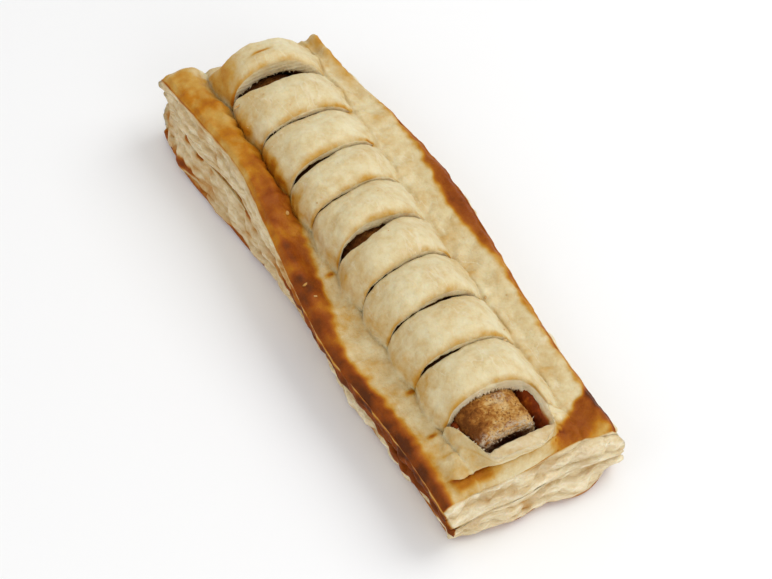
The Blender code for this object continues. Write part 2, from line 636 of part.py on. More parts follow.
def finish(sheet, name, place, colour, roughness):
    """Moves every vertex to its place, and makes the object with its material."""
    bmesh.ops.recalc_face_normals(sheet, faces=sheet.faces[:])
    side_layer = sheet.verts.layers.float.get("side")
    held = np.array([vertex.co[:] for vertex in sheet.verts])
    sides = np.zeros(len(held))
    if side_layer is not None:
        sides = np.array([vertex[side_layer] for vertex in sheet.verts])
    placed = place(held[:, 0], held[:, 1], held[:, 2], sides)
    for vertex, x, y, z in zip(sheet.verts, *placed):
        vertex.co = ((x - CENTRE_X) * MM, (y - CENTRE_Y) * MM, z * MM)
    if sheet.calc_volume(signed=True) < 0:
        bmesh.ops.reverse_faces(sheet, faces=sheet.faces[:])
    bmesh.ops.triangulate(sheet, faces=sheet.faces[:])
    mesh = bpy.data.meshes.new(name)
    sheet.to_mesh(mesh)
    sheet.free()
    mesh.shade_smooth()
    node = bpy.data.objects.new(name, mesh)
    bpy.context.scene.collection.objects.link(node)
    material = bpy.data.materials.new(name + "_material")
    material.use_nodes = True
    shader = material.node_tree.nodes["Principled BSDF"]
    shader.inputs["Base Color"].default_value = colour
    shader.inputs["Roughness"].default_value = roughness
    shader.inputs["Metallic"].default_value = 0.0
    mesh.materials.append(material)


def make_base():
    columns = [-1 + 2 * column / BASE_COLUMNS for column in range(BASE_COLUMNS + 1)]
    sheet = new_sheet(columns, base_rows())
    thicken(sheet)
    finish(sheet, "pastry_base", place_base, (0.80, 0.60, 0.34, 1.0), 0.5)


def make_sausage():
    tube = bmesh.new()
    bmesh.ops.create_cone(
        tube, cap_ends=False, segments=SAUSAGE_SIDES, radius1=1.0, radius2=1.0, depth=2.0
    )
    upright = [edge for edge in tube.edges if is_upright(edge)]
    bmesh.ops.subdivide_edges(tube, edges=upright, cuts=SAUSAGE_RINGS - 1)
    rims = [edge for edge in tube.edges if edge.is_boundary]
    for end in (-1, 1):
        bmesh.ops.contextual_create(tube, geom=[edge for edge in rims if edge.verts[0].co.z * end > 0])
    finish(tube, "sausage", place_sausage, (0.33, 0.14, 0.05, 1.0), 0.6)


def make_lid():
    """The slit sheet: columns close together at its outer edges, rows at each band's lip."""
    dome = [-0.5 + column / DOME_COLUMNS for column in range(DOME_COLUMNS + 1)]
    dome = sorted(dome + [WINDOW_COLUMN])
    columns = list(BORDER_PLACES) + dome + [-place for place in reversed(BORDER_PLACES)]
    rows = list(LEDGE_ROWS)
    for band in range(1, len(CUTS)):
        rows.extend(band + share for share in BAND_ROWS)
    rows.extend(len(CUTS) + share for share in CAP_ROWS)
    rows.append(float(len(CUTS) + 1))
    sheet = new_sheet(columns, rows)
    slash(sheet)
    thicken(sheet)
    finish(sheet, "pastry_lid", place_lid, (0.83, 0.62, 0.33, 1.0), 0.45)


def main():
    for old in list(bpy.data.objects):
        bpy.data.objects.remove(old, do_unlink=True)
    bpy.context.scene.unit_settings.scale_length = 1.0
    make_base()
    make_sausage()
    make_lid()


main()
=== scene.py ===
import bmesh
import bpy
import numpy as np
from mathutils import Matrix, Vector


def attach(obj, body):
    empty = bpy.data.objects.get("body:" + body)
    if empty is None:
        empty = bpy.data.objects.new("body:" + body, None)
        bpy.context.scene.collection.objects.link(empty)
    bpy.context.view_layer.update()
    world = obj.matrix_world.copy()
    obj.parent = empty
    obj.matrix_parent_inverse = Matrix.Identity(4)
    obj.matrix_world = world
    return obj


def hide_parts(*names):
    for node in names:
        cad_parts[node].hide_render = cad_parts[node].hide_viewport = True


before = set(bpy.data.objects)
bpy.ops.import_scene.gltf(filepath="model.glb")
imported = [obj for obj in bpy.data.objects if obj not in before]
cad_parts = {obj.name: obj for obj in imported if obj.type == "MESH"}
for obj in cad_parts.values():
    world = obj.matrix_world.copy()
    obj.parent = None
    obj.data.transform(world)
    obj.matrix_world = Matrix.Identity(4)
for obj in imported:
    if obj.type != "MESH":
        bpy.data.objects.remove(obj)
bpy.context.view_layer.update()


# ---------------------------------------------------------------------------------------------
# The bottom sheet: a slab of laminated dough baked flat on a tray. Its knife-cut sides have
# puffed into wavy leaves, and the sausage has pressed a trough into its upper face.
# Shapes are worked out in millimetres, with Y along the roll and the open window at -Y.

MM = 0.001
GAP = 0.3                              # clearance between the two pastry sheets
ARCH_GAP, TROUGH_GAP = 1.6 * GAP, 1.2 * GAP      # clearance above and below the sausage
CENTRE_X, CENTRE_Y = 0.59, -1.0        # middle of the outline, which becomes the origin

# ends of the top crust, and their bows as (how far, where across, over what width)
NEAR_END_Y = -85.2
FAR_END_LEFT_Y, FAR_END_RIGHT_Y = 86.6, 80.0
NEAR_END_BOWS = ((0.9, -0.6, 0.25), (1.7, 0.35, 0.4))
FAR_END_BOWS = ((0.8, 0.1, 0.5),)
NEAR_REACH, FAR_REACH = 3.0, 0.8       # how far the seam stands out past the top crust

# outlines from above, and their bulges as (how far, middle Y, spread)
LEFT_EDGE_X, RIGHT_EDGE_X = -26.2, 27.0
LID_LEFT_BULGES = ((-3.0, -22, 28), (2.6, 42, 20), (-1.8, 88, 18))
LID_RIGHT_BULGES = ((4.3, 8, 42), (-5.3, 80, 23))
BASE_LEFT_BULGES = ((-2.0, -32, 22), (-7.2, 67, 25), (-2.6, 32, 18), (-1.8, 85, 8))
BASE_RIGHT_BULGES = ((1.8, -88, 14), (-0.8, -35, 20), (1.4, 70, 16))
SEAM_LEFT_BULGES = ((2.2, 88, 9),)
BASE_LEFT_INSET, BASE_RIGHT_INSET = 2.6, -1.0
SEAM_LEFT_INSET, SEAM_RIGHT_INSET = 1.0, -0.6
SEAM_Z, SEAM_CLIMB = 9.5, (2.5, -30, 50)

SAUSAGE_X, SAUSAGE_Z = -1.0, 16.6
SAUSAGE_HALF_WIDTH, SAUSAGE_HALF_HEIGHT = 10.7, 10.2
SAUSAGE_SQUARENESS = 2.35
SAUSAGE_NEAR_Y, SAUSAGE_FAR_Y = -77.4, 70.5
TROUGH_MARGIN, TROUGH_FADE = 1.3, 1.4  # the trough runs on past the sausage, then fades out
TROUGH_ANGLE = 127                     # where the base leaves the sausage, in degrees from its top

BASE_COLUMNS, BASE_TROUGH_ROWS = 14, 26
BASE_END_FADE = 9.0
BASE_RIM_RISE, BASE_CORNER_PULL = 1.1, 2.0
BASE_NEAR_REACH, BASE_FAR_REACH = 1.2, 0.6
BASE_NEAR_BOWS = ((-2.4, -0.3, 0.35), (-5.2, 0.45, 0.36))
BASE_SIDE_CUTS, BASE_SIDE_RINGS = 11, 30
PUFF, PUFF_WAVES = 0.9, 0.7            # how far a cut side stands out, and how unevenly
LEAF_PITCH = 2.9                       # thickness of one puffed leaf of dough
SWOLLEN_PITCH = 1.3                    # and how much thicker it is where it swells freely

# a browned shelf along the left seam, with knobs as (how far, middle Y, spread)
SHELF_REACH, SHELF_KNOBS = 1.1, ((0.9, -64.5, 1.6), (0.72, -70.5, 2.4))

# browning runs from 0, pale cream, to 1, nearly black
# the two hollow amounts are painted shade: a browner colour in the hollows between the puffed leaves
CUT_BAKE, CUT_HOLLOW_SHADE_BAKE, CUT_END_HOLLOW_SHADE_BAKE = 0.22, 0.22, 0.10
FOOT_BAKE, UNDERSIDE_BAKE, FLAKE_BAKE = 0.42, 0.5, 0.55
SEAM_BAKE, SEAM_SPOT_BAKE = 0.66, 0.42


def swell(value, middle, spread):
    """A soft hump, one at the middle and fading on both sides."""
    return np.exp(-(((value - middle) / spread) ** 2))


def ramp(value, start, end):
    """Nought before the start, one past the end, and a smooth step between."""
    share = np.clip((value - start) / (end - start), 0.0, 1.0)
    return share * share * (3.0 - 2.0 * share)


def mix(first, second, share):
    return first + (second - first) * share


def bulged(value, bulges):
    """The sum of several humps, each given as (size, middle, spread)."""
    return sum(size * swell(value, middle, spread) for size, middle, spread in bulges)


def climbed(value, *climbs):
    """The sum of several smooth steps, each given as (size, start, end)."""
    return sum(size * ramp(value, start, end) for size, start, end in climbs)


SLOPES = np.array([slope for slope in np.ndindex(3, 3, 3) if slope.count(1) == 1]) - 1.0


def hills(x, y, z, size, seed):
    """Soft random hills between -1 and 1, each about `size` millimetres across."""
    x, y, z = np.broadcast_arrays(x, y, z)
    place = np.stack([x, y, z], axis=-1) / size + 31.7 * seed
    cell = np.floor(place)
    inside = place - cell
    blend = inside**3 * (inside * (inside * 6 - 15) + 10)
    height = np.zeros(x.shape)
    for corner in np.ndindex(2, 2, 2):
        code = np.sin((cell + corner) @ np.array([12.9898, 78.233, 37.719])) * 43758.5453
        slope = SLOPES[((code - np.floor(code)) * len(SLOPES)).astype(int) % len(SLOPES)]
        share = np.prod(np.where(np.array(corner) == 1, blend, 1 - blend), axis=-1)
        height += share * np.sum(slope * (inside - corner), axis=-1)
    return 1.4 * height


def lid_left_x(y):
    return LEFT_EDGE_X + bulged(y, LID_LEFT_BULGES)


def lid_right_x(y):
    return RIGHT_EDGE_X + bulged(y, LID_RIGHT_BULGES)


def base_left_x(y):
    return LEFT_EDGE_X + BASE_LEFT_INSET + bulged(y, BASE_LEFT_BULGES)


def base_right_x(y):
    return lid_right_x(y) + BASE_RIGHT_INSET + bulged(y, BASE_RIGHT_BULGES)


def seam_left_x(y):
    middle = 0.5 * (lid_left_x(y) + base_left_x(y))
    return middle + SEAM_LEFT_INSET + bulged(y, SEAM_LEFT_BULGES)


def seam_right_x(y):
    return 0.5 * (lid_right_x(y) + base_right_x(y)) + SEAM_RIGHT_INSET


def seam_z(y):
    return SEAM_Z + climbed(y, SEAM_CLIMB)


def far_end_y(across):
    return mix(FAR_END_LEFT_Y, FAR_END_RIGHT_Y, (across + 1) / 2) + bulged(across, FAR_END_BOWS)


def near_end_y(across):
    return NEAR_END_Y + bulged(across, NEAR_END_BOWS)


def bar_section(angle, half_width, half_height, squareness):
    """A point round a rounded bar's section: angle 0 is the top, positive towards +X."""
    power = 2.0 / squareness
    sine, cosine = np.sin(angle), np.cos(angle)
    x = SAUSAGE_X + half_width * np.sign(sine) * np.abs(sine) ** power
    z = SAUSAGE_Z + half_height * np.sign(cosine) * np.abs(cosine) ** power
    return x, z


def sausage_section(angle, grow):
    return bar_section(angle, SAUSAGE_HALF_WIDTH + grow, SAUSAGE_HALF_HEIGHT + grow, SAUSAGE_SQUARENESS)


def trough_share(y):
    """One along the sausage, falling to nought past its two ends."""
    near = SAUSAGE_NEAR_Y - TROUGH_MARGIN
    far = SAUSAGE_FAR_Y + TROUGH_MARGIN
    return ramp(y, near - TROUGH_FADE, near) * (1 - ramp(y, far, far + TROUGH_FADE))


def ripple(a, b):
    """Uneven puffing of the cut layers, from a few waves that never repeat together."""
    waves = np.sin(0.61 * a + 1.3 * b + 0.4) + np.sin(0.23 * a - 2.1 * b + 1.9)
    return 0.5 * waves + 0.4 * np.sin(1.27 * a + 3.3 * b)


def puffed(along, depth, puff=PUFF):
    """How far a cut side stands out between its upper and its lower edge."""
    bulge = np.sin(np.pi * depth) * (depth > 0) * (depth < 1)
    return bulge * (puff + PUFF_WAVES * ripple(along, 4 * depth))


def along_side(u, at_end, x, y):
    """Distance along a cut side, shifted so that no two sides share the same hills."""
    return np.where(at_end, x + 400, y + 200 * np.sign(u))


def leaves(along, height, seed, swollen):
    """The puffed leaves of a cut side: a count that grows by one a leaf, and how far each stands out."""
    drift = 1.8 * hills(along, 0, 0, 30, seed) + 0.8 * hills(along, 0, 0, 12, seed + 1)
    wander = (0.7 + 1.3 * swollen) * hills(along, height, 0, 12, seed + 2)
    count = (height + drift + wander) / (LEAF_PITCH + SWOLLEN_PITCH * swollen)
    leaf = np.floor(count)
    part = count - leaf
    edge = (4 * part * (1 - part)) ** 0.5
    reach = 0.9 * hills(along, 9.1 * leaf, 0, 17, seed + 3)
    reach = reach + 0.8 * hills(along, 0.8 * height, 0, 15, seed + 4)
    soft = 0.22 * hills(0.4 * along, 1.3 * height, 0, 2.6, seed + 7)
    soft = soft + 0.10 * hills(0.5 * along, height, 0, 0.9, seed + 6)
    pocket = ramp(hills(0.7 * along, 2.0 * height, 0, 7, seed + 5), 0.45, 0.75)
    out = (0.5 + 0.5 * swollen) * (edge - 0.75) + reach + soft - 0.9 * pocket
    out = out + swollen * 0.7 * hills(along, 1.2 * height, 0, 8, seed + 8)
    # a soft limit: what lies in deeper than 0.8 counts for a quarter
    return count, np.maximum(out, 0.25 * (out - 2.4))


def new_sheet(columns, rows):
    """A flat grid whose vertices hold their place across in X and along in Y."""
    sheet = bmesh.new()
    bmesh.ops.create_grid(sheet, x_segments=len(columns) - 1, y_segments=len(rows) - 1, size=1.0)
    for vertex in sheet.verts:
        column = round((vertex.co.x + 1) / 2 * (len(columns) - 1))
        row = round((vertex.co.y + 1) / 2 * (len(rows) - 1))
        vertex.co = (columns[column], rows[row], 0.0)
    return sheet


def is_upright(edge):
    return abs(edge.verts[0].co.z - edge.verts[1].co.z) > 0.5


def on_wall(edge):
    """Whether an edge borders a face that joins the upper sheet to the lower."""
    return any(is_upright(other) for face in edge.link_faces for other in face.edges)


def thicken(sheet, fine_top, cuts, rings):
    """Doubles the sheet, walls its rim and its cuts, and refines the walls and, if wanted, the top.

    Z is then the depth of a vertex: 0 on the upper face and 1 on the lower. `rings` is a list of
    (test for an upright edge, number of rings).
    """
    made = bmesh.ops.extrude_face_region(sheet, geom=sheet.faces[:])
    for piece in made["geom"]:
        if isinstance(piece, bmesh.types.BMVert):
            piece.co.z = 1.0
    for along_x in (True, False):
        chosen = []
        for edge in sheet.edges:
            first, second = edge.verts
            runs_this_way = (abs(first.co.x - second.co.x) > 1e-6) == along_x
            refined = on_wall(edge) or (fine_top and first.co.z < 0.5)
            if runs_this_way and refined and not is_upright(edge):
                chosen.append(edge)
        bmesh.ops.subdivide_edges(sheet, edges=chosen, cuts=cuts)
    upright = [edge for edge in sheet.edges if is_upright(edge)]
    for chosen, count in rings:
        some = [edge for edge in upright if chosen(edge.verts[0].co)]
        bmesh.ops.subdivide_edges(sheet, edges=some, cuts=count)


def settle(sheet, name, place, dress):
    """Moves every vertex to its place, then along its normal, and writes the colour masks."""
    side_layer = sheet.verts.layers.float.get("side")
    sides = np.zeros(len(sheet.verts))
    if side_layer is not None:
        sides = np.array([vertex[side_layer] for vertex in sheet.verts])
    mesh = bpy.data.meshes.new(name)
    sheet.to_mesh(mesh)
    sheet.free()
    held = np.zeros(len(mesh.vertices) * 3)
    mesh.vertices.foreach_get("co", held)
    a, b, c = held.reshape(-1, 3).T
    x, y, z = place(a, b, c, sides)
    mesh.vertices.foreach_set("co", np.stack([x, y, z], axis=-1).ravel())
    mesh.update()
    mesh.calc_loop_triangles()
    corners = np.zeros(len(mesh.loop_triangles) * 3, np.int32)
    mesh.loop_triangles.foreach_get("vertices", corners)
    points = np.stack([x, y, z], axis=-1)[corners].reshape(-1, 3, 3)
    volume = np.einsum("ij,ij->i", points[:, 0], np.cross(points[:, 1], points[:, 2])).sum()
    if volume < 0:
        mesh.flip_normals()
        mesh.update()
    normals = np.zeros(len(mesh.vertices) * 3)
    mesh.vertex_normals.foreach_get("vector", normals)
    nx, ny, nz = normals.reshape(-1, 3).T
    out, masks = dress(a, b, c, sides, x, y, z)
    x, y, z = x + nx * out, y + ny * out, z + nz * out
    final = np.stack([(x - CENTRE_X) * MM, (y - CENTRE_Y) * MM, np.maximum(z, 0.0) * MM], axis=-1)
    mesh.vertices.foreach_set("co", final.ravel())
    for mask, values in masks.items():
        layer = mesh.attributes.new(mask, "FLOAT", "POINT")
        layer.data.foreach_set("value", np.broadcast_to(values, x.shape).astype(np.float32))
    mesh.update()
    mesh.shade_smooth()
    piece = bpy.data.objects.new(name, mesh)
    bpy.context.scene.collection.objects.link(piece)
    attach(piece, "root")
    return piece


def base_rows():
    """Y of each row of the base: closest together where the trough starts and stops."""
    near = SAUSAGE_NEAR_Y - TROUGH_MARGIN
    far = SAUSAGE_FAR_Y + TROUGH_MARGIN
    inner = [mix(near, far, row / BASE_TROUGH_ROWS) for row in range(BASE_TROUGH_ROWS + 1)]
    before = [NEAR_END_Y, NEAR_END_Y + 1.2, near - TROUGH_FADE - 1.8, near - TROUGH_FADE]
    end = 0.5 * (FAR_END_LEFT_Y + FAR_END_RIGHT_Y)
    after = [far + TROUGH_FADE, far + TROUGH_FADE + 4.0, end - 1.2, end]
    return before + inner + after


def base_y(row, near, far):
    """Rows run straight across the trough and bend to the shape of the two ends."""
    end = 0.5 * (FAR_END_LEFT_Y + FAR_END_RIGHT_Y)
    near_pull = 1 - ramp(row, NEAR_END_Y, NEAR_END_Y + BASE_END_FADE)
    far_pull = ramp(row, end - BASE_END_FADE, end)
    return row + (near - NEAR_END_Y) * near_pull + (far - end) * far_pull


def base_top(u, row):
    """The base's upper face: flat along the seam, and a trough under the sausage."""
    y = base_y(row, near_end_y(u) - NEAR_REACH, far_end_y(u) + FAR_REACH)
    seam_left, seam_right, seam = seam_left_x(y), seam_right_x(y), seam_z(y)
    angle = np.pi - np.clip(2 * u, -1, 1) * np.radians(180 - TROUGH_ANGLE)
    x_arc, z_arc = sausage_section(angle, TROUGH_GAP)
    x_rim = sausage_section(np.sign(u) * np.radians(TROUGH_ANGLE), TROUGH_GAP)[0]
    edge = np.clip(2 * np.abs(u) - 1, 0, 1)
    x_flat = mix(x_rim, np.where(u < 0, seam_left, seam_right), edge)
    in_trough = np.abs(u) <= 0.5
    x = np.where(in_trough, x_arc, x_flat)
    z = np.where(in_trough, np.minimum(z_arc, seam), seam)
    held = trough_share(y)
    return mix(mix(seam_left, seam_right, (u + 1) / 2), x, held), y, mix(seam, z, held)


def base_under(u, row):
    """The base's underside: flat, with its rim a little raised and drawn in."""
    corner = ramp(np.abs(u), 0.55, 1.0) ** 2
    near = near_end_y(u) - BASE_NEAR_REACH + bulged(u, BASE_NEAR_BOWS) + BASE_CORNER_PULL * corner
    far = far_end_y(u) + BASE_FAR_REACH - BASE_CORNER_PULL * corner
    y = base_y(row, near, far)
    x = mix(base_left_x(y), base_right_x(y), (u + 1) / 2)
    end = np.maximum(ramp(y, far - 1.5, far), 1 - ramp(y, near, near + 1.5))
    return x, y, BASE_RIM_RISE * np.maximum(ramp(np.abs(u), 0.9, 1.0), end)


def base_ends(row):
    """Minus one at the near end, one at the far end and nought between."""
    rows = base_rows()
    return (row > rows[-1] - 0.01) * 1.0 - (row < rows[0] + 0.01) * 1.0


def place_base(u, row, depth, side):
    x, y, z = (mix(upper, lower, depth) for upper, lower in zip(base_top(u, row), base_under(u, row)))
    x = x + (np.abs(u) > 0.999) * np.sign(u) * puffed(y + 9, depth)
    return x, y + base_ends(row) * puffed(x + 5, depth), z


def dress_base(u, row, depth, side, x, y, z):
    """Puffs the cut side into leaves, and says where it is pale, where it has browned, and where painted
    shade darkens its hollows.
    """
    at_end = base_ends(row) != 0
    wall = (at_end | (np.abs(u) > 0.999)) * 1.0
    left_side = (u < -0.999) * 1.0
    near_half = 1 - ramp(y, -10, 30)
    along = along_side(u, at_end, x, y)
    count, out = leaves(along, z, 3, at_end * 1.0)
    body = ramp(depth, 0.0, 0.1) * (1 - ramp(depth, 0.9, 1.0))
    shelf = left_side * near_half * swell(depth, 0.12, 0.13)
    out = wall * (out * body + (SHELF_REACH + bulged(y, SHELF_KNOBS)) * shelf)

    bake = CUT_BAKE + 0.15 * left_side * ramp(y, -40, 10) + 0.10 * hills(along, z, 0, 5, 11)
    bake = bake + FOOT_BAKE * wall * ramp(depth, 0.82, 0.97)
    # painted shade: the hollows between the puffed leaves are browned to stand in for the shade that falls in
    # them
    bake = bake + (CUT_HOLLOW_SHADE_BAKE + CUT_END_HOLLOW_SHADE_BAKE * at_end) * wall * ramp(-out, -0.2, 1.3)
    bake = bake + SEAM_BAKE * left_side * near_half * (1 - ramp(depth, 0.2, 0.34))
    spots = ramp(hills(along, 0, 0, 7, 13), 0.25, 0.55) * swell(depth, 0.02, 0.10)
    bake = bake + SEAM_SPOT_BAKE * left_side * (1 - near_half) * spots
    bake = bake + FLAKE_BAKE * left_side * swell(y, 68, 7) * swell(depth, 0.66, 0.13)
    under = (depth > 0.999) * (1 - wall)
    bake = np.where(under > 0, UNDERSIDE_BAKE + 0.15 * hills(x, y, 0, 14, 17), bake)
    return out, {
        "bake": bake,
        "leaf": wall * (1 - ramp(bake, 0.45, 0.8)),
        "layer": count,
        "sauce": 0.0,
        "deep_shade": 0.0,
    }


def value_of(tree, socket, value):
    """Feeds a socket from another socket, or sets it to a plain number or colour."""
    if isinstance(value, bpy.types.NodeSocket):
        tree.links.new(value, socket)
    else:
        socket.default_value = value


def maths(tree, operation, *values):
    node = tree.nodes.new("ShaderNodeMath")
    node.operation = operation
    for socket, value in zip(node.inputs, values):
        value_of(tree, socket, value)
    return node.outputs[0]


def times(tree, first, second):
    return maths(tree, "MULTIPLY", first, second)


def plus(tree, base, value, weight):
    """The base, with another value added to it at a weight."""
    return maths(tree, "MULTIPLY_ADD", value, weight, base)


def centred(tree, noise):
    """Noise moved from 0..1 to lie evenly about nought."""
    return maths(tree, "SUBTRACT", noise, 0.5)


def zigzag(tree, value):
    """Runs from nought to one and back for each whole number of the value."""
    return times(tree, maths(tree, "PINGPONG", value, 0.5), 2.0)


def blended(tree, share, first, second):
    node = tree.nodes.new("ShaderNodeMix")
    node.data_type = "RGBA"
    value_of(tree, node.inputs[0], share)
    value_of(tree, node.inputs[6], first)
    value_of(tree, node.inputs[7], second)
    return node.outputs[2]


def stretch(tree, value, start, end, low=0.0, high=1.0):
    """Maps start..end to low..high, with a smooth step."""
    node = tree.nodes.new("ShaderNodeMapRange")
    node.interpolation_type = "SMOOTHSTEP"
    for socket, number in zip(node.inputs, (value, start, end, low, high)):
        value_of(tree, socket, number)
    return node.outputs[0]


def cloudy(tree, scale, detail=3.0, roughness=0.55, stretched=(1.0, 1.0, 1.0), warp=0.0):
    """Noise in the object's own coordinates; scale is in cells a metre."""
    coordinates = tree.nodes.new("ShaderNodeTexCoord")
    mapping = tree.nodes.new("ShaderNodeMapping")
    mapping.inputs["Scale"].default_value = stretched
    tree.links.new(coordinates.outputs["Object"], mapping.inputs["Vector"])
    noise = tree.nodes.new("ShaderNodeTexNoise")
    noise.inputs["Scale"].default_value = scale
    noise.inputs["Detail"].default_value = detail
    noise.inputs["Roughness"].default_value = roughness
    noise.inputs["Distortion"].default_value = warp
    tree.links.new(mapping.outputs[0], noise.inputs["Vector"])
    return noise.outputs[0]


def mask_of(tree, name):
    node = tree.nodes.new("ShaderNodeAttribute")
    node.attribute_type = "GEOMETRY"
    node.attribute_name = name
    return node.outputs["Fac"]


def colour_steps(tree, value, steps):
    node = tree.nodes.new("ShaderNodeValToRGB")
    ramp_steps = node.color_ramp.elements
    while len(ramp_steps) < len(steps):
        ramp_steps.new(1.0)
    for element, (position, colour) in zip(ramp_steps, steps):
        element.position = position
        element.color = (*colour, 1.0)
    value_of(tree, node.inputs[0], value)
    return node.outputs[0]


def food_surface(name, relief_strength, relief_depth, specular):
    """A new material: its tree, its shader, and the height socket of the relief it carries."""
    material = bpy.data.materials.new(name)
    material.use_nodes = True
    tree = material.node_tree
    shader = tree.nodes["Principled BSDF"]
    relief = tree.nodes.new("ShaderNodeBump")
    relief.inputs["Strength"].default_value = relief_strength
    relief.inputs["Distance"].default_value = relief_depth
    tree.links.new(relief.outputs["Normal"], shader.inputs["Normal"])
    shader.inputs["Specular IOR Level"].default_value = specular
    return material, tree, shader, relief.inputs["Height"]


CRUST_STEPS = (
    (0.00, (0.73, 0.65, 0.42)),
    (0.13, (0.68, 0.565, 0.325)),
    (0.27, (0.60, 0.44, 0.205)),
    (0.41, (0.54, 0.305, 0.060)),
    (0.55, (0.45, 0.170, 0.006)),
    (0.68, (0.34, 0.095, 0.006)),
    (0.82, (0.24, 0.052, 0.004)),
    (1.00, (0.10, 0.024, 0.004)),
)
LEAF_STEPS = (
    (0.00, (0.54, 0.39, 0.20)),
    (0.25, (0.66, 0.52, 0.30)),
    (0.60, (0.75, 0.63, 0.41)),
    (1.00, (0.84, 0.75, 0.55)),
)
CRACK_COLOUR = (0.80, 0.73, 0.54, 1.0)
DOT_COLOUR = (0.30, 0.17, 0.06, 1.0)
TAN_COLOUR = (0.50, 0.32, 0.13, 1.0)
SAUCE_COLOUR = (0.21, 0.036, 0.005, 1.0)
# painted shade, laid deep inside the slashes
PAINTED_SHADE_COLOUR = (0.075, 0.024, 0.008, 1.0)


def pastry_group():
    """The look of baked puff pastry, from the masks that its mesh carries."""
    group = bpy.data.node_groups.new("baked_pastry", "ShaderNodeTree")
    group.interface.new_socket("Color", in_out="OUTPUT", socket_type="NodeSocketColor")
    for name in ("Roughness", "Gloss", "Height"):
        group.interface.new_socket(name, in_out="OUTPUT", socket_type="NodeSocketFloat")
    end = group.nodes.new("NodeGroupOutput")
    bake, leaf, layer, sauce, deep_shade = (
        mask_of(group, name) for name in ("bake", "leaf", "layer", "sauce", "deep_shade")
    )

    # how browned each place is, with blotches that calm down where the crust is dark
    patches = cloudy(group, 95.0, 3.0)
    specks = cloudy(group, 330.0, 5.0, 0.65)
    grains = cloudy(group, 1500.0, 2.0)
    calm = stretch(group, bake, 0.25, 0.5, 0.85, 0.5)
    blotches = plus(group, times(group, centred(group, patches), 0.42), centred(group, specks), 0.60)
    uneven = plus(group, bake, blotches, calm)

    # glazed crust, with fine pale cracks and dark dots
    crust = colour_steps(group, uneven, CRUST_STEPS)
    wander = cloudy(group, 100.0, 4.0, 0.5, (1.0, 0.28, 0.6), 0.4)
    cracks = stretch(group, maths(group, "ABSOLUTE", centred(group, wander)), 0.002, 0.012, 1.0, 0.0)
    cracks = times(group, cracks, stretch(group, patches, 0.46, 0.58))
    cracks = times(group, cracks, stretch(group, uneven, 0.2, 0.42, 1.0, 0.0))
    crust = blended(group, times(group, cracks, 0.28), crust, CRACK_COLOUR)
    dots = stretch(group, grains, 0.70, 0.76)
    crust = blended(group, times(group, dots, 0.25), crust, DOT_COLOUR)

    # cut leaves, with fine lines along them
    grain = cloudy(group, 620.0, 4.0, 0.65, (0.45, 0.45, 1.4), 0.8)
    fibres = zigzag(group, plus(group, times(group, layer, 3.1), patches, 3.0))
    lines = plus(group, times(group, zigzag(group, layer), 0.45), fibres, 0.25)
    lines = maths(group, "ADD", lines, stretch(group, grain, 0.35, 0.65, 0.0, 0.4))
    cut = colour_steps(group, lines, LEAF_STEPS)
    cut = blended(group, stretch(group, uneven, 0.16, 0.60, 0.0, 0.75), cut, TAN_COLOUR)
    cut = blended(group, stretch(group, uneven, 0.44, 0.70), cut, crust)

    # the two put together, with juice soaked into the torn faces and painted shade, nearly black, deep inside
    # the slashes
    colour = blended(group, leaf, crust, cut)
    colour = blended(group, sauce, colour, SAUCE_COLOUR)
    # painted shade: deep inside the slashes the colour is darkened nearly to black
    colour = blended(group, times(group, deep_shade, 0.8), colour, PAINTED_SHADE_COLOUR)
    browned = stretch(group, uneven, 0.45, 0.8)
    rough = plus(group, 0.52, browned, -0.08)
    rough = plus(group, plus(group, rough, leaf, 0.25), sauce, -0.25)
    gloss = times(group, plus(group, 0.12, browned, -0.09), maths(group, "SUBTRACT", 1.0, leaf))
    height = plus(group, times(group, grains, 0.25), specks, 0.8)
    height = plus(group, plus(group, height, cracks, -0.04), times(group, lines, leaf), 0.6)
    for name, value in (("Color", colour), ("Roughness", rough), ("Gloss", gloss), ("Height", height)):
        group.links.new(value, end.inputs[name])
    return group


PASTRY = pastry_group()


def pastry_material(name, relief_strength):
    material, tree, shader, height = food_surface(name, relief_strength, 0.0008, 0.07)
    look = tree.nodes.new("ShaderNodeGroup")
    look.node_tree = PASTRY
    tree.links.new(look.outputs["Height"], height)
    tree.links.new(look.outputs["Color"], shader.inputs["Base Color"])
    tree.links.new(look.outputs["Roughness"], shader.inputs["Roughness"])
    tree.links.new(look.outputs["Gloss"], shader.inputs["Coat Weight"])
    shader.inputs["Coat Roughness"].default_value = 0.38
    shader.inputs["Subsurface Weight"].default_value = 0.15
    shader.inputs["Subsurface Radius"].default_value = (1.0, 0.55, 0.25)
    shader.inputs["Subsurface Scale"].default_value = 0.0025
    return material


base_places = [-1 + 2 * column / BASE_COLUMNS for column in range(BASE_COLUMNS + 1)]
base_sheet = new_sheet(base_places, base_rows())
thicken(base_sheet, False, BASE_SIDE_CUTS, [(lambda place: True, BASE_SIDE_RINGS)])
base = settle(base_sheet, "bottom_sheet", place_base, dress_base)
base.data.materials.append(pastry_material("base_crust", 0.8))
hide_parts("pastry_base")


# ---------------------------------------------------------------------------------------------
# The sausage: a skinless bar of minced meat with a browned, grainy surface, squared a little
# where the pastry held it. Its near end shows in the window, with pale fat set along its edge.

SAUSAGE_SIDES, SAUSAGE_RINGS = 96, 300
SAUSAGE_END_ROUNDING = 2.2
SAUSAGE_END_SHARE = 0.35               # how much of the rings gather at the near end
RING_GATHERING = 1.6                   # and how strongly they do
END_SQUARENESS = 3.6                   # the cut end keeps the sharper corners of the bar
END_SHAPE_FROM_Y, END_SHAPE_TO_Y = -68, -58
NARROWING = 2.4                        # the near end is this much narrower on its right side

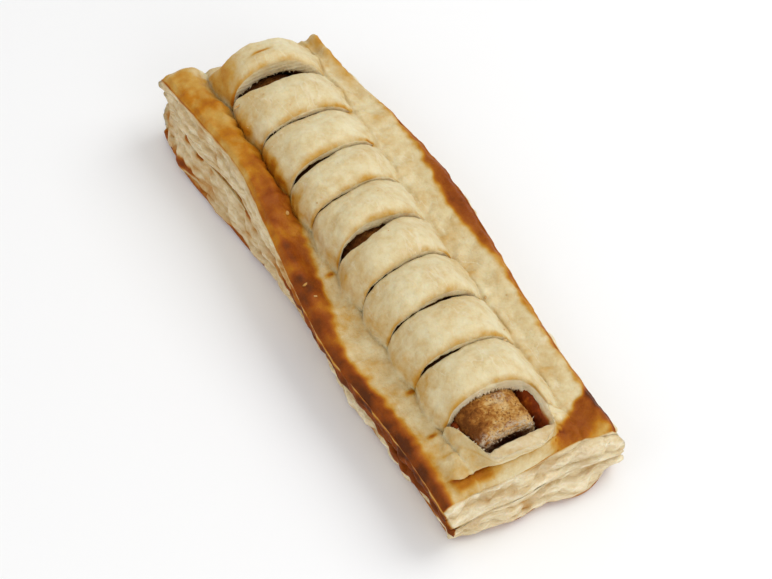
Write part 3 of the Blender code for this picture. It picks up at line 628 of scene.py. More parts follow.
# meat relief as (height, size, seed), how far it lies in, and the smear of fat on the top
MEAT_COARSE, MEAT_FINE, MEAT_GRIT = (0.32, 4.5, 21), (0.22, 1.5, 23), (0.20, 0.75, 25)
MEAT_INSET = 0.40
FAT_SMEAR_X, FAT_SMEAR_Y, FAT_SMEAR_RADIUS = 1.5, -66.5, 2.0
MEAT_BAKE = 0.42                       # evenly browned, before the left side darkens and painted shade darkens the back

MEAT_STEPS = (
    (0.15, (0.70, 0.47, 0.20)),
    (0.40, (0.55, 0.28, 0.070)),
    (0.62, (0.35, 0.130, 0.024)),
    (0.95, (0.16, 0.05, 0.010)),
)
PEPPER_COLOUR = (0.18, 0.045, 0.008, 1.0)
FAT_COLOUR = (0.64, 0.53, 0.38, 1.0)


def place_sausage(a, b, c, side):
    """A unit tube bent to the bar's section, with both ends rounded and the near one squared."""
    angle = np.arctan2(a, b)
    share = (c + 1) / 2
    gathered = share - SAUSAGE_END_SHARE / (2 * np.pi) * np.sin(2 * np.pi * share)
    y = mix(SAUSAGE_NEAR_Y, SAUSAGE_FAR_Y, gathered**RING_GATHERING)
    from_end = np.minimum(y - SAUSAGE_NEAR_Y, SAUSAGE_FAR_Y - y)
    turn = np.clip(1 - from_end / SAUSAGE_END_ROUNDING, 0, 1)
    shrink = SAUSAGE_END_ROUNDING * (1 - np.sqrt(np.clip(1 - turn * turn, 0, 1)))
    half_width, half_height = SAUSAGE_HALF_WIDTH - shrink, SAUSAGE_HALF_HEIGHT - shrink
    x, z = bar_section(angle, half_width, half_height, SAUSAGE_SQUARENESS)
    x_square, z_square = bar_section(angle, half_width, half_height, END_SQUARENESS)
    at_end = 1 - ramp(y, END_SHAPE_FROM_Y, END_SHAPE_TO_Y)
    narrowed = NARROWING * at_end * (x > SAUSAGE_X) * (x - SAUSAGE_X) / SAUSAGE_HALF_WIDTH
    return mix(x, x_square, at_end) - narrowed, y, mix(z, z_square, at_end)


def dress_sausage(a, b, c, side, x, y, z):
    """Grainy relief, set fat round the near edge, a colour that darkens to the left, and painted shade
    towards the back.
    """
    coarse, fine, grit = (hills(x, y, z, size, seed) for _, size, seed in (MEAT_COARSE, MEAT_FINE, MEAT_GRIT))
    out = MEAT_COARSE[0] * coarse + MEAT_FINE[0] * fine + MEAT_GRIT[0] * grit - MEAT_INSET
    edge = swell(y, SAUSAGE_NEAR_Y + 0.9, 1.7)
    smear = swell(np.hypot(x - FAT_SMEAR_X, y - FAT_SMEAR_Y), 0, FAT_SMEAR_RADIUS)
    fat = np.maximum(edge * ramp(hills(x, y, z, 1.3, 27), -0.6, 0.2), smear * ramp(fine, -0.6, 0.3))
    dark = MEAT_BAKE + 0.25 * coarse + 0.12 * fine
    # darker to the left, and painted shade towards the back, where the sausage runs in under the lid
    dark = dark + 0.38 * ramp(-x, 2, 9) + 0.5 * ramp(y, -66, -58) - 0.15 * edge
    return out, {"fat": fat, "dark": np.clip(dark, 0, 1)}


def sausage_material():
    material, tree, shader, height = food_surface("sausage_meat", 1.0, 0.0012, 0.05)
    lumps = cloudy(tree, 260.0, 4.0, 0.65)
    grit = cloudy(tree, 900.0, 3.0, 0.7)
    dark = plus(tree, mask_of(tree, "dark"), centred(tree, lumps), 0.7)
    dark = plus(tree, dark, centred(tree, grit), 1.1)
    colour = colour_steps(tree, dark, MEAT_STEPS)
    crystals = cloudy(tree, 1700.0, 3.0, 0.7)
    pepper = stretch(tree, cloudy(tree, 1300.0, 2.0, 0.5), 0.56, 0.66)
    colour = blended(tree, times(tree, pepper, 0.7), colour, PEPPER_COLOUR)
    fat = times(tree, mask_of(tree, "fat"), stretch(tree, crystals, 0.38, 0.54))
    colour = blended(tree, times(tree, fat, 0.85), colour, FAT_COLOUR)
    tree.links.new(maths(tree, "ADD", lumps, grit), height)
    tree.links.new(colour, shader.inputs["Base Color"])
    tree.links.new(stretch(tree, grit, 0.2, 0.8, 0.7, 0.95), shader.inputs["Roughness"])
    return material


bar = bmesh.new()
bmesh.ops.create_cone(bar, cap_ends=False, segments=SAUSAGE_SIDES, radius1=1.0, radius2=1.0, depth=2.0)
lengthwise = [edge for edge in bar.edges if is_upright(edge)]
bmesh.ops.subdivide_edges(bar, edges=lengthwise, cuts=SAUSAGE_RINGS - 1)
open_edges = [edge for edge in bar.edges if edge.is_boundary]
for end in (-1, 1):
    rim = [edge for edge in open_edges if edge.verts[0].co.z * end > 0]
    middle = bar.verts.new((0.0, 0.0, float(end)))
    for edge in rim:
        bar.faces.new((edge.verts[0], edge.verts[1], middle))
bmesh.ops.recalc_face_normals(bar, faces=bar.faces[:])
sausage = settle(bar, "sausage_bar", place_sausage, dress_sausage)
sausage.data.materials.append(sausage_material())
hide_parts("sausage")


# ---------------------------------------------------------------------------------------------
# The lid: a sheet of laminated dough, slashed across and stretched over the sausage so that it
# stands up in nine arched bands, glazed with egg and baked. Its borders lie flat on the base.
# The last slash, at the near end, has torn wide open.

# heights of the crust: at the near end, then climbs as (how much, from Y, to Y)
DOME_LEFT_X, DOME_RIGHT_X = -14.9, 17.2
EDGE_Z, FOOT_Z, CROWN_Z = 18.5, 18.0, 32.2
LEFT_EDGE_CLIMB, RIGHT_EDGE_CLIMBS = (8.0, -38, 45), ((2.6, -70, 20), (4.6, 56, 82))
LEFT_EDGE_BULGES = ((-0.8, 88, 10),)
FOOT_CLIMB, CROWN_CLIMB = (4.2, -25, 50), (1.6, 10, 70)
ARCH_ANGLE = 88                        # where the lid leaves the sausage, in degrees from its top

# each slash across the lid, from the near end; the first one is the torn window
CUTS = (
    # left end y, right end y, gape, middle of the gape (-1..1), its spread, lift of the far lip
    (-64.3, -75.5, 0.0, 0.0, 1.0, -0.6),
    (-48.6, -48.6, 0.9, -0.45, 0.5, 0.7),
    (-32.6, -31.2, 1.1, 0.2, 0.5, 0.9),
    (-17.6, -14.0, 0.3, 0.2, 0.6, 0.5),
    (-2.6, 1.8, 3.8, -0.45, 0.5, 1.4),
    (13.6, 16.8, 0.3, -0.2, 0.6, 0.5),
    (27.2, 32.6, 1.6, -0.5, 0.5, 0.9),
    (46.0, 46.6, 0.8, -0.1, 0.7, 0.4),
    (65.6, 64.6, 4.8, -0.15, 0.8, 2.2),
)
GAPE_LEAST = 0.22                      # share of its gape that a slash keeps away from its widest

# the window, the crease in front of it, and the torn lip between the two
WINDOW_LEFT_W, WINDOW_RIGHT_W = -0.94, 2.0 / 3.0
WINDOW_FAR_GAPE, WINDOW_NEAR_GAPE = 8.0, 16.6
WINDOW_FAR_CORNER, WINDOW_NEAR_CORNER = 16, 3.5      # how square the rim turns at the right
WINDOW_LEFT_TURN = 0.22                # share of the window where its left side meets the front
WINDOW_WALL_Y = -79.3                  # the inner wall in front of the sausage
TEAR_LEFT_U, TEAR_RIGHT_U = (-0.82, -0.68), (0.12, 0.5)
CREASE_Y, CREASE_BENDS = -79.8, ((-2.6, -0.47, -0.16), (4.4, 0.14, 0.42))
CREASE_RISE, CREASE_RISE_BEND = 2.3, (2.3, -0.47, -0.16)
CREASE_SHARE, FLAP_SHARE = 0.28, 0.42  # where the crease lies, and where the torn lip begins
CREASE_OVERHANG, OVERHANG_END_U = 1.2, (0.05, 0.3)
FLAP_THICKNESS = 1.0
FRONT_ROLLS = ((0.9, 0.12, 0.07), (-0.5, CREASE_SHARE, 0.03))
FRONT_RIM_Z, FRONT_FACE_DROP, FRONT_FACE_SHARE, FRONT_FACE_REACH = 26.8, 0.9, 0.35, 0.92

# the bands between the slashes
BAND_LENGTH = 14.5
LIP_DIP, LIP_ROUND, LIP_OVERHANG = 1.6, 2.6, 1.0
LIP_FACE, LIP_FACE_PER_GAPE, WINDOW_FACE, LIP_RECESS = 2.0, 0.5, 4.6, 0.3
CAP_FACE_LEFT, CAP_FACE_LEAN = 1.25, -0.4
UNDERCUT = 3.5                         # how far the hollow under a lip reaches in beneath the band
FACE_END, HOLLOW_END = 0.5, 0.75       # depths at which the torn face and that hollow end
FACE_GAP = 0.15                        # the hollow's roof stays this far above the sausage
TUCK_LEAN, TUCK_DIP, TUCK_ROUND, CROWN_PUFF = 1.4, 3.0, 4.0, 0.8
CAP_END_SHARE = (0.55, 0.86)
LEFT_ARCH, RIGHT_ARCH = (2.7, 0.60), (2.6, 1.0)      # inner and outer power of either half
SIDE_SCALLOPS = ((0.9, 0.5, 0.06), (-1.7, -0.5, 0.07))
SIDE_PINCHES, PINCH_LENGTH = ((0.8, -0.49, 0.035), (0.5, 0.47, 0.05)), 0.11
RAGGED_HEIGHT = 0.9                    # unevenness of the torn edges

# the borders beside the bands
BROAD_Y = (-5, 35)                     # the left border broadens into a ridge between these
NEAR_RIDGE, FAR_RIDGE, RIGHT_RIDGE = (0.35, 0.8), (-0.05, 0.42), (0.1, 0.8)
DISH, RIGHT_FILL = (0.7, 0.3, 0.25), (1.0, 0.52, 0.11)
EDGE_ROLL, EDGE_ROLL_FROM, FAR_ROLL, NEAR_ROLL, ROLL_ROWS = 1.3, 0.86, 1.2, 0.8, 0.12
END_PUFF = 0.7

BORDER_PLACES = (-1.0, -0.965, -0.9, -0.78, -0.63)
DOME_COLUMNS = 12
BAND_ROWS = (0.0, 0.08, 0.2, 0.4, 0.62, 0.84)
LEDGE_ROWS = (0.0, 0.12, 0.28, 0.42, 0.55, 0.67, 0.78, 0.9)
CAP_ROWS = (0.0, 0.06, 0.16, 0.3, 0.45, 0.6, 0.74, 0.87)
LID_CUTS, LID_SIDE_RINGS, LID_CUT_RINGS = 4, 34, 12


def left_edge_z(y):
    return EDGE_Z + climbed(y, LEFT_EDGE_CLIMB) + bulged(y, LEFT_EDGE_BULGES)


def right_edge_z(y):
    return EDGE_Z + climbed(y, *RIGHT_EDGE_CLIMBS)


def foot_z(y):
    """Height of the groove where the bands meet the flat borders."""
    return FOOT_Z + climbed(y, FOOT_CLIMB)


def crown_z(y):
    return CROWN_Z + climbed(y, CROWN_CLIMB)


def line_y(number, u):
    """The Y of a cut line, or of an end, at any place across the sheet."""
    if number == 0:
        return near_end_y(u)
    if number == len(CUTS) + 1:
        return far_end_y(u)
    left, right = CUTS[number - 1][:2]
    return mix(left, right, (np.clip(2 * u, -1.2, 1.2) + 1) / 2)


def sheet_y(u, v):
    """Rows follow the cut lines, which are the whole numbers of v."""
    y = np.zeros_like(u)
    for number in range(len(CUTS) + 1):
        inside = (v >= number) & (v <= number + 1)
        y = np.where(inside, mix(line_y(number, u), line_y(number + 1, u), v - number), y)
    return y


def opening_shape(number, w):
    """How far open a cut is across the dome, from 0 at its ends to 1."""
    ends = np.sqrt(np.clip(1 - w * w, 0, 1))
    middle, spread = CUTS[number][3:5]
    return ends * mix(GAPE_LEAST, 1.0, swell(w, middle, spread))


def window_share(u):
    """How far across the window, from nought at its left corner to one at its right."""
    return np.clip((2 * u - WINDOW_LEFT_W) / (WINDOW_RIGHT_W - WINDOW_LEFT_W), 0, 1)


def window_far_y(u):
    """The window's far rim: bulging away from the near end, then turning down at the right."""
    share = window_share(u)
    bulge = (1 - (1 - share) ** 2) * np.sqrt(1 - share**WINDOW_FAR_CORNER)
    return line_y(1, u) + WINDOW_FAR_GAPE * bulge


def window_near_y(u):
    """The window's near rim: straight down the left, then round the front to the right."""
    share = window_share(u)
    down_left = ramp(share, -0.01, WINDOW_LEFT_TURN)
    return line_y(1, u) - WINDOW_NEAR_GAPE * down_left * np.sqrt(1 - share**WINDOW_NEAR_CORNER)


def crease_y(u):
    """Y of the crease in front of the window, where the lid's front roll meets the torn lip."""
    return CREASE_Y + climbed(u, *CREASE_BENDS)


def crease_rise(u):
    return CREASE_RISE + climbed(u, CREASE_RISE_BEND)


def front_tear(u):
    """Where, across the near end, the pastry in front of the window has torn and lifted."""
    return ramp(u, *TEAR_LEFT_U) * (1 - ramp(u, *TEAR_RIGHT_U))


def dome_profile(w):
    """The bands' arch: steep on the left, running out gently on the right."""
    left, right = (
        np.clip(1 - np.abs(w) ** inner, 0, 1) ** outer for inner, outer in (LEFT_ARCH, RIGHT_ARCH)
    )
    return np.where(w < 0, left, right)


def band_place(v, side):
    """Which band a point is on, and how far along it from its near edge to its far edge."""
    band = np.clip(np.floor(v), 0, len(CUTS))
    share = v - band
    behind = (share == 0) & (side < 0) & (v > 0)
    return np.where(behind, band - 1, band), np.where(behind, 1.0, share)


def opened_y(u, v, side):
    """The Y of the upper crust, with its slashes parted and its window torn open."""
    w = np.clip(2 * u, -1, 1)
    y = sheet_y(u, v)
    band, share = band_place(v, side)
    for number, cut in enumerate(CUTS[1:], 1):
        open_by = 0.5 * cut[2] * opening_shape(number, w)
        y = np.where(band == number + 1, y + open_by * (1 - share) ** 1.5, y)
        y = np.where(band == number, y - open_by * share**1.5, y)
    y = np.where(band == 1, y + (window_far_y(u) - line_y(1, u)) * (1 - share) ** 1.5, y)
    torn = (band == 0) * front_tear(u)
    rim_y = window_near_y(u)
    from_crease = np.clip((share - FLAP_SHARE) / (1 - FLAP_SHARE), 0, 1)
    torn_y = mix(near_end_y(u), crease_y(u), np.clip(share / CREASE_SHARE, 0, 1) ** 2)
    overhang = CREASE_OVERHANG * (1 - ramp(u, *OVERHANG_END_U))
    torn_y = torn_y - overhang * ramp(share, CREASE_SHARE, FLAP_SHARE - 0.02)
    torn_y = mix(torn_y, rim_y, from_crease)
    return np.where(band == 0, mix(mix(near_end_y(u), rim_y, share), torn_y, torn), y)


def border_z(u, y):
    """Height of the borders beside the bands, and of the groove at the bands' feet."""
    inner_left = np.clip(-2 * u, 1, 2) - 1
    inner_right = np.clip(2 * u, 1, 2) - 1
    foot = foot_z(y)
    broad = ramp(y, *BROAD_Y)
    ridge_left = mix(ramp(inner_left, *NEAR_RIDGE), ramp(inner_left, *FAR_RIDGE), broad)
    ridge_right = ramp(inner_right, *RIGHT_RIDGE)
    dish = bulged(inner_left, (DISH,)) * (1 - broad) * (inner_left > 0)
    edge_roll = EDGE_ROLL * (ramp(inner_left, EDGE_ROLL_FROM, 1.0) + ramp(inner_right, EDGE_ROLL_FROM, 1.0))
    left_crease = swell(u, -0.505, 0.018) * (0.7 + 0.5 * hills(0, y, 0, 4.0, 81))
    right_crease = swell(u, 0.505, 0.025) * ramp(hills(0, y, 0, 6.0, 83), -0.2, 0.5)
    z = foot + (left_edge_z(y) - foot) * ridge_left + (right_edge_z(y) - foot) * ridge_right
    return z - dish - edge_roll - 0.9 * left_crease - 0.6 * right_crease + bulged(u, (RIGHT_FILL,))


def towards_lip(share):
    """How far round its near lip a point of a band is, from nought to one at the edge."""
    return np.clip(1 - share * BAND_LENGTH / LIP_ROUND, 0, 1)


def band_rise(u, y, band, share):
    """How far the crust of a band, or of the cap, stands above the groove at its foot."""
    w = np.clip(2 * u, -1, 1)
    is_cap = band == len(CUTS)
    rounded = np.clip(1 - (1 - share) * BAND_LENGTH / TUCK_ROUND, 0, 1)
    tuck = -TUCK_LEAN * ramp(share, 0.4, 1.0) - TUCK_DIP * (1 - np.sqrt(1 - rounded**2))
    puff = CROWN_PUFF * np.sin(np.pi * np.clip(share / 0.85, 0, 1))
    lip = -LIP_DIP * (1 - np.sqrt(1 - towards_lip(share) ** 2))
    lift = np.zeros_like(y)
    for number, cut in enumerate(CUTS):
        raised = cut[5] * swell(w, cut[3], cut[4] + 0.3) * (1 - ramp(share, 0.0, 0.8))
        lift = np.where(band == number + 1, raised, lift)
    cap_end = np.where(is_cap, 1 - ramp(share, *CAP_END_SHARE), 1.0)
    along = np.where(is_cap, 0, tuck + puff) + lip + lift
    return (crown_z(y) - foot_z(y)) * dome_profile(w) * cap_end + along * (1 - np.abs(w) ** 4)


def ledge_rise(u, y, share):
    """How far the pastry in front of the window stands above the groove: roll, crease and lip."""
    w = np.clip(2 * u, -1, 1)
    torn = front_tear(u)
    crest = dome_profile(w)
    closed_rise = (crown_z(y) - foot_z(y)) * crest - LIP_DIP * (1 - np.abs(w) ** 4)
    rim_rise = mix(closed_rise, (FRONT_RIM_Z - foot_z(y)) * crest, torn)
    front = crease_rise(u) * ramp(share, 0.06, CREASE_SHARE)
    flap = mix(crease_rise(u) + FLAP_THICKNESS, rim_rise, ramp(share, FLAP_SHARE, 1.0))
    torn_rise = mix(front, flap, ramp(share, CREASE_SHARE, FLAP_SHARE)) + bulged(share, FRONT_ROLLS)
    return mix(rim_rise * ramp(share, 0.2, 0.95), torn_rise, torn)


def lid_top(u, v, side):
    """The lid's upper crust."""
    w = np.clip(2 * u, -1, 1)
    band, share = band_place(v, side)
    y = opened_y(u, v, side)
    x_left = mix(DOME_LEFT_X, lid_left_x(y), np.clip(-2 * u, 1, 2) - 1)
    x_right = mix(DOME_RIGHT_X, lid_right_x(y), np.clip(2 * u, 1, 2) - 1)
    x_dome = mix(DOME_LEFT_X, DOME_RIGHT_X, (w + 1) / 2)
    x = np.where(u < -0.5, x_left, np.where(u > 0.5, x_right, x_dome))
    z = border_z(u, y) + np.where(band == 0, ledge_rise(u, y, share), band_rise(u, y, band, share))

    on_band = (band > 0) & (np.abs(w) < 1)
    y = y - LIP_OVERHANG * on_band * (1 - np.abs(w) ** 4) ** 4 * towards_lip(share) ** 2
    x = x + (band > 0) * (np.sin(np.pi * share) - 0.5) * bulged(u, SIDE_SCALLOPS)
    pinch = swell(share, 0.0, PINCH_LENGTH) + swell(share, 1.0, PINCH_LENGTH)
    z = z - (band > 0) * pinch * bulged(u, SIDE_PINCHES)
    last = len(CUTS) + 1
    far_roll = FAR_ROLL * ramp(v, last - ROLL_ROWS, last)
    near_roll = NEAR_ROLL * (1 - ramp(v, 0.0, ROLL_ROWS))
    return x, y, z - far_roll - near_roll


def arch_z(x):
    """Height of the lid's arched underside over the sausage, at any place across."""
    share = np.clip(np.abs(x - SAUSAGE_X) / (SAUSAGE_HALF_WIDTH + ARCH_GAP), 0, 1)
    rise = (1 - share**SAUSAGE_SQUARENESS) ** (1 / SAUSAGE_SQUARENESS)
    return SAUSAGE_Z + (SAUSAGE_HALF_HEIGHT + ARCH_GAP) * rise


def lid_under(u, v, side):
    """The lid's underside: round the upper part of the sausage, then flat along the seam."""
    y = lid_top(u, v, side)[1]
    band, share = band_place(v, side)
    behind_rim = np.maximum(window_near_y(u), WINDOW_WALL_Y)
    y = np.where(band == 0, mix(near_end_y(u) - NEAR_REACH, behind_rim, share), y)
    w = 2 * u
    seam = seam_z(y) + GAP
    x_arch, z_arch = sausage_section(np.clip(w, -1, 1) * np.radians(ARCH_ANGLE), ARCH_GAP)
    x_side, z_side = sausage_section(np.sign(w) * np.radians(90), ARCH_GAP)
    edge = np.clip(np.abs(w) - 1, 0, 1)
    seam_left, seam_right = seam_left_x(y), seam_right_x(y)
    x_seam = np.where(w < 0, seam_left, seam_right)
    x_flat = mix(x_side, x_seam, mix(edge, ramp(edge, 0.0, 1.0), 0.3))
    z_flat = mix(z_side, seam, ramp(edge, 0.0, 0.22))
    x = np.where(np.abs(w) <= 1, x_arch, x_flat)
    z = np.where(np.abs(w) <= 1, z_arch, z_flat)
    held = np.where(band == len(CUTS), (share < 0.5) * 1.0, trough_share(y))
    x = mix(mix(seam_left, seam_right, (u + 1) / 2), x, held)
    lipped = (band > 0) * (np.abs(w) < 1) * (1 - np.clip(w, -1, 1) ** 4)
    return x, y + (LIP_RECESS + UNDERCUT) * lipped * (1 - share) ** 3, mix(seam, z, held)


def whole_rows(v):
    """Puts rows that rounding has moved off a whole number back on it."""
    return np.where(np.abs(v - np.round(v)) < 1e-4, np.round(v), v)


def lid_ends(v):
    """Minus one at the near end, one at the far end and nought between."""
    return (v > len(CUTS) + 0.999) * 1.0 - (v < 0.001) * 1.0


def place_lid(u, v, depth, side):
    """Any point of the lid: its sheet, its outer sides, and the walls of its slashes."""
    v = whole_rows(v)
    top, under = lid_top(u, v, side), lid_under(u, v, side)
    x, y, z = (mix(upper, lower, depth) for upper, lower in zip(top, under))
    x = x + (np.abs(u) > 0.999) * np.sign(u) * puffed(y, depth)
    y = y + lid_ends(v) * puffed(x, depth, END_PUFF)
    y_top, z_top, y_under, z_under = top[1], top[2], under[1], under[2]
    w = np.clip(2 * u, -1, 1)
    holds = 1 - w**4
    share = window_share(u)
    is_wall = (depth > 0) & (depth < 1)
    at_window, at_cap = v == 1, v == len(CUTS)

    # under a far lip, the torn face goes down, then in beneath the band, then to the underside
    lip = is_wall & (side > 0) & (v > 0.5)
    down = np.clip(depth / FACE_END, 0, 1)
    inward = np.clip((depth - FACE_END) / (HOLLOW_END - FACE_END), 0, 1)
    rest = np.clip((depth - HOLLOW_END) / (1 - HOLLOW_END), 0, 1)
    ragged = RAGGED_HEIGHT * hills(x, 0, z, 1.1, 85) * swell(depth, FACE_END, 0.12)
    ragged = ragged * np.where(at_window, 1.0, 0.3)
    gapes = np.array([cut[2] for cut in CUTS])[np.clip(v.astype(int) - 1, 0, len(CUTS) - 1)]
    window_face = WINDOW_FACE * (0.25 + 0.75 * np.sqrt(1 - share**6))
    band_face = (LIP_FACE + LIP_FACE_PER_GAPE * gapes) * mix(0.1, 1.0, holds)
    band_face = band_face * np.where(at_cap, CAP_FACE_LEFT + CAP_FACE_LEAN * w, 1.0)
    face = np.where(at_window, window_face, band_face)
    face_z = np.maximum(z_top - (face + ragged) * down, np.maximum(z_under, arch_z(x) + FACE_GAP))
    lip_y = y_top + holds * (LIP_RECESS * down + UNDERCUT * inward)
    window_formed = ramp(share, 0.0, 0.03) * (1 - ramp(share, 0.9, 1.0))
    formed = np.where(at_window, window_formed, 1 - w**8)
    y = np.where(lip, mix(y, lip_y, formed), y)
    z = np.where(lip, mix(z, mix(face_z, z_under, rest), formed), z)

    # in front of the window, it slopes back over the torn lip and then falls to the underside
    front = is_wall & (side < 0) & at_window
    over = np.clip(depth / FRONT_FACE_SHARE, 0, 1)
    fall = np.clip((depth - FRONT_FACE_SHARE) / (1 - FRONT_FACE_SHARE), 0, 1)
    face_y = mix(y_top, y_under, FRONT_FACE_REACH * over)
    face_z = z_top - FRONT_FACE_DROP * over
    y = np.where(front, mix(y, mix(face_y, y_under, fall), formed), y)
    z = np.where(front, mix(z, mix(face_z, z_under, fall), formed), z)
    return x, y, z


# soft marks on the crust: x, y, half length, half width, turn in degrees, how much browner
BLURRED_MARKS = (
    (25.0, 68.0, 4.0, 9.0, 0, 0.36), (22.0, 78.0, 6.0, 4.0, 0, 0.20), (-12.0, 73.0, 3.0, 6.0, 0, 0.15),
    (20.0, 24.0, 2.2, 1.6, 0, -0.12), (19.8, -13.0, 2.2, 1.6, 0, -0.12), (18.6, -29.0, 2.2, 1.6, 0, -0.12),
    (14.8, -47.0, 2.2, 1.6, 0, -0.12), (-14.5, -18.0, 2.2, 1.6, 0, -0.12), (-15.0, -33.0, 2.2, 1.6, 0, -0.12),
)
CLEAR_MARKS = (
    (-16.5, 83.0, 4.5, 4.0, 0, -0.25), (-26.0, 84.0, 5.0, 5.0, 0, -0.12), (-1.0, 71.6, 3.2, 0.6, 3, 0.50),
    (15.0, 45.5, 1.3, 0.8, 0, 0.45), (15.2, 32.0, 1.3, 0.8, 0, 0.45), (-16.3, -2.5, 1.3, 0.8, 0, 0.45),
    (15.5, -15.0, 1.3, 0.8, 0, 0.45), (-15.6, -48.6, 1.3, 0.8, 0, 0.45), (-17.5, -64.0, 1.3, 0.8, 0, 0.45),
)

# browning of the crust: the plain bands, the left ridge, the right edge, the near right corner
BAND_BAKE, LEFT_BORDER_BAKE, RIGHT_BORDER_BAKE, BAND_LEFT_TONE_AND_SHADE_BAKE = 0.13, 0.13, 0.06, 0.10
RIDGE_BAKE, RIDGE_CLIMBS = 0.50, ((0.27, -70, 0), (0.05, 0, 60))     # climbs towards the near end
RIDGE_EDGE_BAKE, PALE_RIM_BAKE = 0.10, 0.18
RIGHT_EDGE_BAKE, RIGHT_EDGE_DARKEST = 0.44, (0.2, 3, 24)
RIGHT_BROWN_WIDTH, RIGHT_BROWN_WIDEST = 1.0, (4.2, 3, 22)
CORNER_BAKE, CORNER_X, CORNER_Y, CORNER_SLOPE = 0.58, 24, -71, (0.555, -0.832)
STREAK_AND_SHADE_BAKE, CREASE_SHADE_BAKE, RIM_BAKE, CRACK_BAKE, LIP_BAKE = 0.31, 0.16, 0.10, 0.22, 0.2
RIM_CUT_DEPTH, CRACK_DEPTH = 0.45, 0.7
RIM_CRACK, RIM_HOLE = (10.5, -80, 3.5, 5.5), (1.7, -83.0, 0.9, 0.7)  # x, y, half length, half width

# browning of the torn faces: near rim and far rim of the window, then every other lip, then painted shade
# that darkens them lower down
NEAR_RIM_BAKE, FAR_RIM_BAKE, FACE_BAKE, DEEP_FACE_SHADE_BAKE = 0.26, 0.05, 0.17, 0.35
# painted shade in the hollows between the puffed leaves of the outer walls, then the brown seam on the left
WALL_HOLLOW_SHADE_BAKE, WALL_END_HOLLOW_SHADE_BAKE, LEFT_WALL_BAKE = 0.22, 0.07, 0.66


def brown_left_x(y):
    """Inner limit of the browned strip along the left edge."""
    return mix(-22.9, -14.2, ramp(y, -30, 34)) - 2.6 * swell(y, -30, 13) - 2.2 * ramp(y, 60, 68)


def patch(x, y, middle_x, middle_y, half_length, half_width, turn=0.0):
    """A soft oval of one at its middle, turned by so many degrees."""
    angle = np.radians(turn)
    along = (x - middle_x) * np.cos(angle) + (y - middle_y) * np.sin(angle)
    across = (y - middle_y) * np.cos(angle) - (x - middle_x) * np.sin(angle)
    return np.exp(-((along / half_length) ** 2) - (across / half_width) ** 2)


def lid_relief(u, x, y, z):
    """Bumps of the upper crust: soft lumps, and wrinkles where the borders meet the bands."""
    across = np.abs(u)
    soft = 0.35 * hills(x, y, z, 9, 51) + 0.14 * hills(x, y, z, 3.2, 53) + 0.05 * hills(x, y, z, 1.2, 55)
    lumps = 0.5 * hills(x, y, 0, 6.5, 57) * ramp(across, 0.5, 0.55)
    creased = np.abs(hills(0.8 * x, y, 0, 4.5, 58)) + 0.6 * np.abs(hills(x, 0.8 * y, 0, 2.4, 59))
    wrinkled = ramp(across, 0.36, 0.5) * (1 - 0.7 * ramp(across, 0.6, 0.8))
    return soft + lumps + 0.9 * np.maximum(wrinkled, 0.25) * (creased - 0.35)


def rim_cracks(x, y):
    """Cracks across the near rim, and a small hole in it."""
    crack = 1 - ramp(np.abs(hills(0.7 * x, y, 0, 3.2, 107)), 0.0, 0.11)
    return crack * patch(x, y, *RIM_CRACK) + patch(x, y, *RIM_HOLE)


